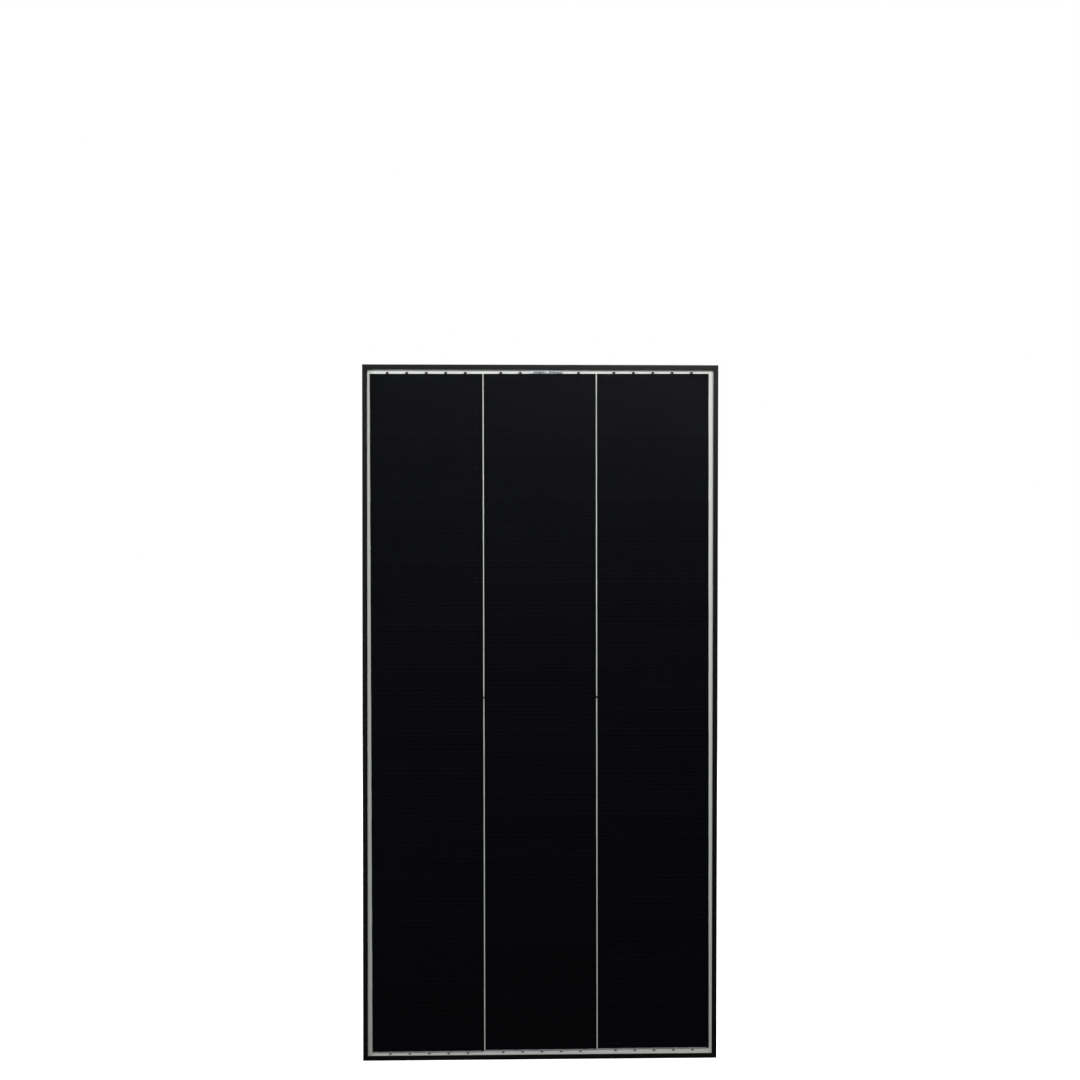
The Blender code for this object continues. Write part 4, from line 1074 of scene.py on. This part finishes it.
def bentPath(points, radius, steps=6):
    # straight runs joined by quarter bends: near each inner corner the path follows
    # (1-t)^2 a + 2t(1-t) b + t^2 c
    points = np.asarray(points, float)
    out = [points[:1]]
    t = np.linspace(0, 1, steps)[:, None]
    for a, b, c in zip(points, points[1:], points[2:]):
        start = b + (a - b) / np.linalg.norm(a - b) * radius
        stop = b + (c - b) / np.linalg.norm(c - b) * radius
        out.append((1 - t) ** 2 * start + 2 * t * (1 - t) * b + t ** 2 * stop)
    out.append(points[-1:])
    return np.concatenate(out)


def solderBlob(x, y, z, radius, height):
    # a low mound: height * cos(r / radius * pi / 2) over a round foot, with a skirt sunk in the plate
    t = np.linspace(0, 2 * math.pi, 24, endpoint=False)
    r = np.linspace(1, 0.08, 7)
    rise = height * np.cos(r * math.pi / 2)
    radii = np.concatenate([[1.0], r]) * radius
    ys = y + np.concatenate([[-0.0001], rise])
    xs = x + radii[:, None] * np.cos(t)
    zs = z + radii[:, None] * np.sin(t) * 0.8
    return shell(np.stack([xs, np.broadcast_to(ys[:, None], xs.shape), zs], axis=-1))


def diode(side):
    # a moulded body with rounded ends and a pale band, on a wire bent down to the two terminals
    low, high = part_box(f"bypass_diode_{side}")
    z = (low[2] + high[2]) / 2
    radius = (high[2] - low[2]) / 2
    y = high[1] - radius
    middle = (low[0] + high[0]) / 2
    half = 0.0045
    e = diodeLook["edge"]
    ends = [
        (-half, radius - 2 * e),
        (-half + 0.0001, radius - e),
        (-half + e, radius - 0.0001),
        (-half + 1.4 * e, radius),
    ]
    body = ends + [(-x, r) for x, r in ends[::-1]]
    bodyRings = alongX([(middle + x, r) for x, r in body], y, z)
    b0 = middle - half + 2 * half * diodeLook["bandFrom"]
    b1 = middle - half + 2 * half * diodeLook["bandTo"]
    band = [(b0, radius - 0.0004), (b0, radius + 0.00004), (b1, radius + 0.00004), (b1, radius - 0.0004)]
    wire = diodeLook["wire"]
    footY = low[1] + wire
    near, far = low[0] + diodeLook["footLength"], high[0] - diodeLook["footLength"]
    path = bentPath([(low[0], footY, z), (near, footY, z), (near, y, z), (middle, y, z)], 0.0012)
    other = bentPath([(high[0], footY, z), (far, footY, z), (far, y, z), (middle, y, z)], 0.0012)
    blobs = [solderBlob(x, low[1], z, 0.0021, 0.0011) for x in (low[0] + 0.0008, high[0] - 0.0008)]
    parts = [
        shell(bodyRings),
        shell(alongX(band, y, z), wrap=True),
        tubeAlong(path, wire),
        tubeAlong(other, wire),
        *blobs,
    ]
    finishes = [epoxy, diodeBand, tinned, tinned, solder, solder]
    piece(
        f"bypassDiode{side.capitalize()}",
        parts,
        finishes,
        "panel",
        [f"bypass_diode_{side}"],
        smoothAngle=40,
    )


diode("left")
diode("right")
print("terminals, screws and diodes made")

ratingLook = {
    "corner": 0.003,
    "border": 0.0022,
    "lineWidth": 0.00035,
    "rows": 9,
    "rowTop": 0.20,  # share of the label's height, from its top
    "rowBottom": 0.80,
    "split": 0.56,  # where the second column starts
}


def ratingLabel():
    # a film with round corners, a printed border and table, and grey bars standing where print would be
    low, high = (np.array(c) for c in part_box("rating_label"))
    middle = (low + high) / 2
    width, height = high[0] - low[0], high[2] - low[2]
    outline = roundedRectangle(width, height, ratingLook["corner"], 8)
    film = carriedRound(
        outline,
        np.array([[0.0], [0.0], [-0.0001]]) + 0 * outline[None, :, 0],
        np.array([[low[1]], [high[1] - 0.00002], [high[1]]]),
        middle,
    )
    ink0, ink1 = high[1] - 0.00003, high[1] + 0.000015
    b, w = ratingLook["border"], ratingLook["lineWidth"]
    inner = roundedRectangle(width - 2 * b, height - 2 * b, ratingLook["corner"] * 0.6, 8)
    levels = np.array([[ink0], [ink1], [ink1], [ink0]])
    border = carriedRound(
        inner,
        np.array([[w / 2], [w / 2], [-w / 2], [-w / 2]]) + 0 * inner[None, :, 0],
        levels,
        middle,
    )
    left, right = low[0] + b + 0.003, high[0] - b - 0.003
    rows = ratingLook["rows"]
    z = high[2] - height * np.linspace(ratingLook["rowTop"], ratingLook["rowBottom"], rows + 1)
    lines = blocks(
        np.stack([np.full(rows + 1, left), np.full(rows + 1, ink0), z - w / 3], axis=-1),
        np.stack([np.full(rows + 1, right), np.full(rows + 1, ink1), z + w / 3], axis=-1),
    )
    split = low[0] + width * ratingLook["split"]
    rule = blocks([[split - w / 3, ink0, z[-1]]], [[split + w / 3, ink1, z[0]]])
    centre = (z[:-1] + z[1:]) / 2
    first, last = [], []
    tall = 0.00085
    for row in range(rows):
        for start, limit in (
            (left + 0.0015, left + dice.uniform(0.022, 0.040)),
            (split + 0.002, split + dice.uniform(0.010, 0.024)),
        ):
            x = start
            while x < limit:
                step = dice.uniform(0.0024, 0.0070)
                first.append((x, ink0, centre[row] - tall))
                last.append((min(x + step, limit + 0.002), ink1, centre[row] + tall))
                x += step + 0.0012
    entries = blocks(np.array(first), np.array(last))
    head = blocks([[left, ink0, high[2] - height * 0.15]], [[left + 0.034, ink1, high[2] - height * 0.085]])
    sub = blocks([[left, ink0, high[2] - height * 0.18]], [[left + 0.022, ink1, high[2] - height * 0.165]])
    foot = blocks(
        np.stack(
            [np.full(3, left), np.full(3, ink0), low[2] + height * np.array([0.07, 0.11, 0.15])], axis=-1
        ),
        np.stack(
            [
                left + np.array([0.050, 0.062, 0.057]),
                np.full(3, ink1),
                low[2] + height * np.array([0.085, 0.125, 0.165]),
            ],
            axis=-1,
        ),
    )
    turned = [
        (
            (low + high) * (1, 0, 0) + part[0] * (-1, 1, 1), part[1]
        ) for part in (rule, entries, head, sub, foot)
    ]
    parts = [shell(film), shell(border, wrap=True), lines, *turned]
    piece("ratingLabel", parts, [ratingFilm] + [greyInk] * 7, "panel", ["rating_label"])


ratingLabel()
print("rating label laid")

view = {
    "lens": 70.0,
    "place": (-0.1047, -2.9946, 0.3187),
    "yaw": -0.0350,  # radians, turned right
    "pitch": -0.0246,
    "roll": 0.0006,
}
camera = bpy.data.objects.new("camera", bpy.data.cameras.new("camera"))
camera.data.lens = view["lens"]
camera.data.sensor_width = 36
camera.data.clip_end = 100
camera.location = view["place"]
camera.rotation_euler = Euler((math.pi / 2 + view["pitch"], 0, view["yaw"]), "XYZ")
camera.rotation_euler = (
    camera.rotation_euler.to_matrix() @ Euler((0, 0, view["roll"])).to_matrix()
).to_euler()
bpy.context.scene.collection.objects.link(camera)
bpy.context.scene.camera = camera


def softLight(name, place, target, size, power, colour):
    data = bpy.data.lights.new(name, "AREA")
    data.shape = "RECTANGLE"
    data.size, data.size_y = size
    data.energy = power
    data.color = colour
    made = bpy.data.objects.new(name, data)
    made.location = place
    aim = np.array(target, float) - np.array(place, float)
    yaw = math.atan2(-aim[0], aim[1])
    pitch = math.atan2(aim[2], math.hypot(aim[0], aim[1]))
    made.rotation_euler = Euler((math.pi / 2 + pitch, 0, yaw), "XYZ")
    bpy.context.scene.collection.objects.link(made)
    return made


studioLights = {
    "key": ((0.40, -1.25, 0.90), (0.15, 0, 0.25), (0.7, 0.35), 11.5, (1.0, 0.995, 0.985)),
    "front": ((-0.6, -2.3, 1.15), (0, 0, 0.2), (1.4, 0.7), 14.0, (1.0, 0.995, 0.985)),
    "right": ((1.5, -1.1, 0.55), (0.2, 0, 0.2), (0.4, 0.9), 3.0, (1.0, 0.98, 0.96)),
    "left": ((-1.6, -1.4, 0.55), (0, 0, 0.15), (0.7, 1.1), 17.0, (0.98, 0.99, 1.0)),
    "back": ((0.6, 2.4, 1.6), (0, 0, 0), (2.0, 1.4), 62.0, (1.0, 1.0, 1.0)),
    "backFill": ((-0.9, 2.2, 0.2), (0, 0, 0.1), (1.0, 1.4), 22.0, (1.0, 1.0, 1.0)),
    "rightSide": ((2.2, 0.25, 0.5), (0.25, 0, 0), (0.5, 1.4), 20.0, (1.0, 1.0, 1.0)),
    "leftSide": ((-2.2, 0.25, 0.5), (-0.25, 0, 0), (0.5, 1.4), 14.0, (1.0, 1.0, 1.0)),
}
for name, (place, target, size, power, colour) in studioLights.items():
    softLight(name, place, target, size, power, colour)


def paleFloor():
    # a wide disc at the panel's foot
    t = np.linspace(0, 2 * math.pi, 96, endpoint=False)
    z = cadBox[0][2] - 0.0005
    points = np.stack([9 * np.cos(t), 9 * np.sin(t), np.full_like(t, z)], axis=-1)
    mesh = bpy.data.meshes.new("floor")
    mesh.from_pydata(points.tolist(), [], [list(range(96))])
    made = bpy.data.objects.new("floor", mesh)
    floorFinish, _, shader = newFinish("paleFloor")
    shader.inputs["Base Color"].default_value = (0.93, 0.93, 0.93, 1)
    shader.inputs["Roughness"].default_value = 0.8
    shader.inputs["Specular IOR Level"].default_value = 0.1
    shader.inputs["Emission Color"].default_value = (1, 1, 1, 1)
    shader.inputs["Emission Strength"].default_value = 0.97
    mesh.materials.append(floorFinish)
    bpy.context.scene.collection.objects.link(made)
    made.visible_glossy = False
    made.visible_diffuse = False


paleFloor()

world = bpy.data.worlds.new("studio")
bpy.context.scene.world = world
world.use_nodes = True
tree = world.node_tree
seen = add(tree, "ShaderNodeLightPath").outputs["Is Camera Ray"]
level = spread(tree, seen, 0.0, 1.0, 0.05, 1.0)
tree.links.new(level, tree.nodes["Background"].inputs["Strength"])
tree.nodes["Background"].inputs["Color"].default_value = (1, 1, 1, 1)
bpy.context.scene.view_settings.view_transform = "Standard"
print("studio set")
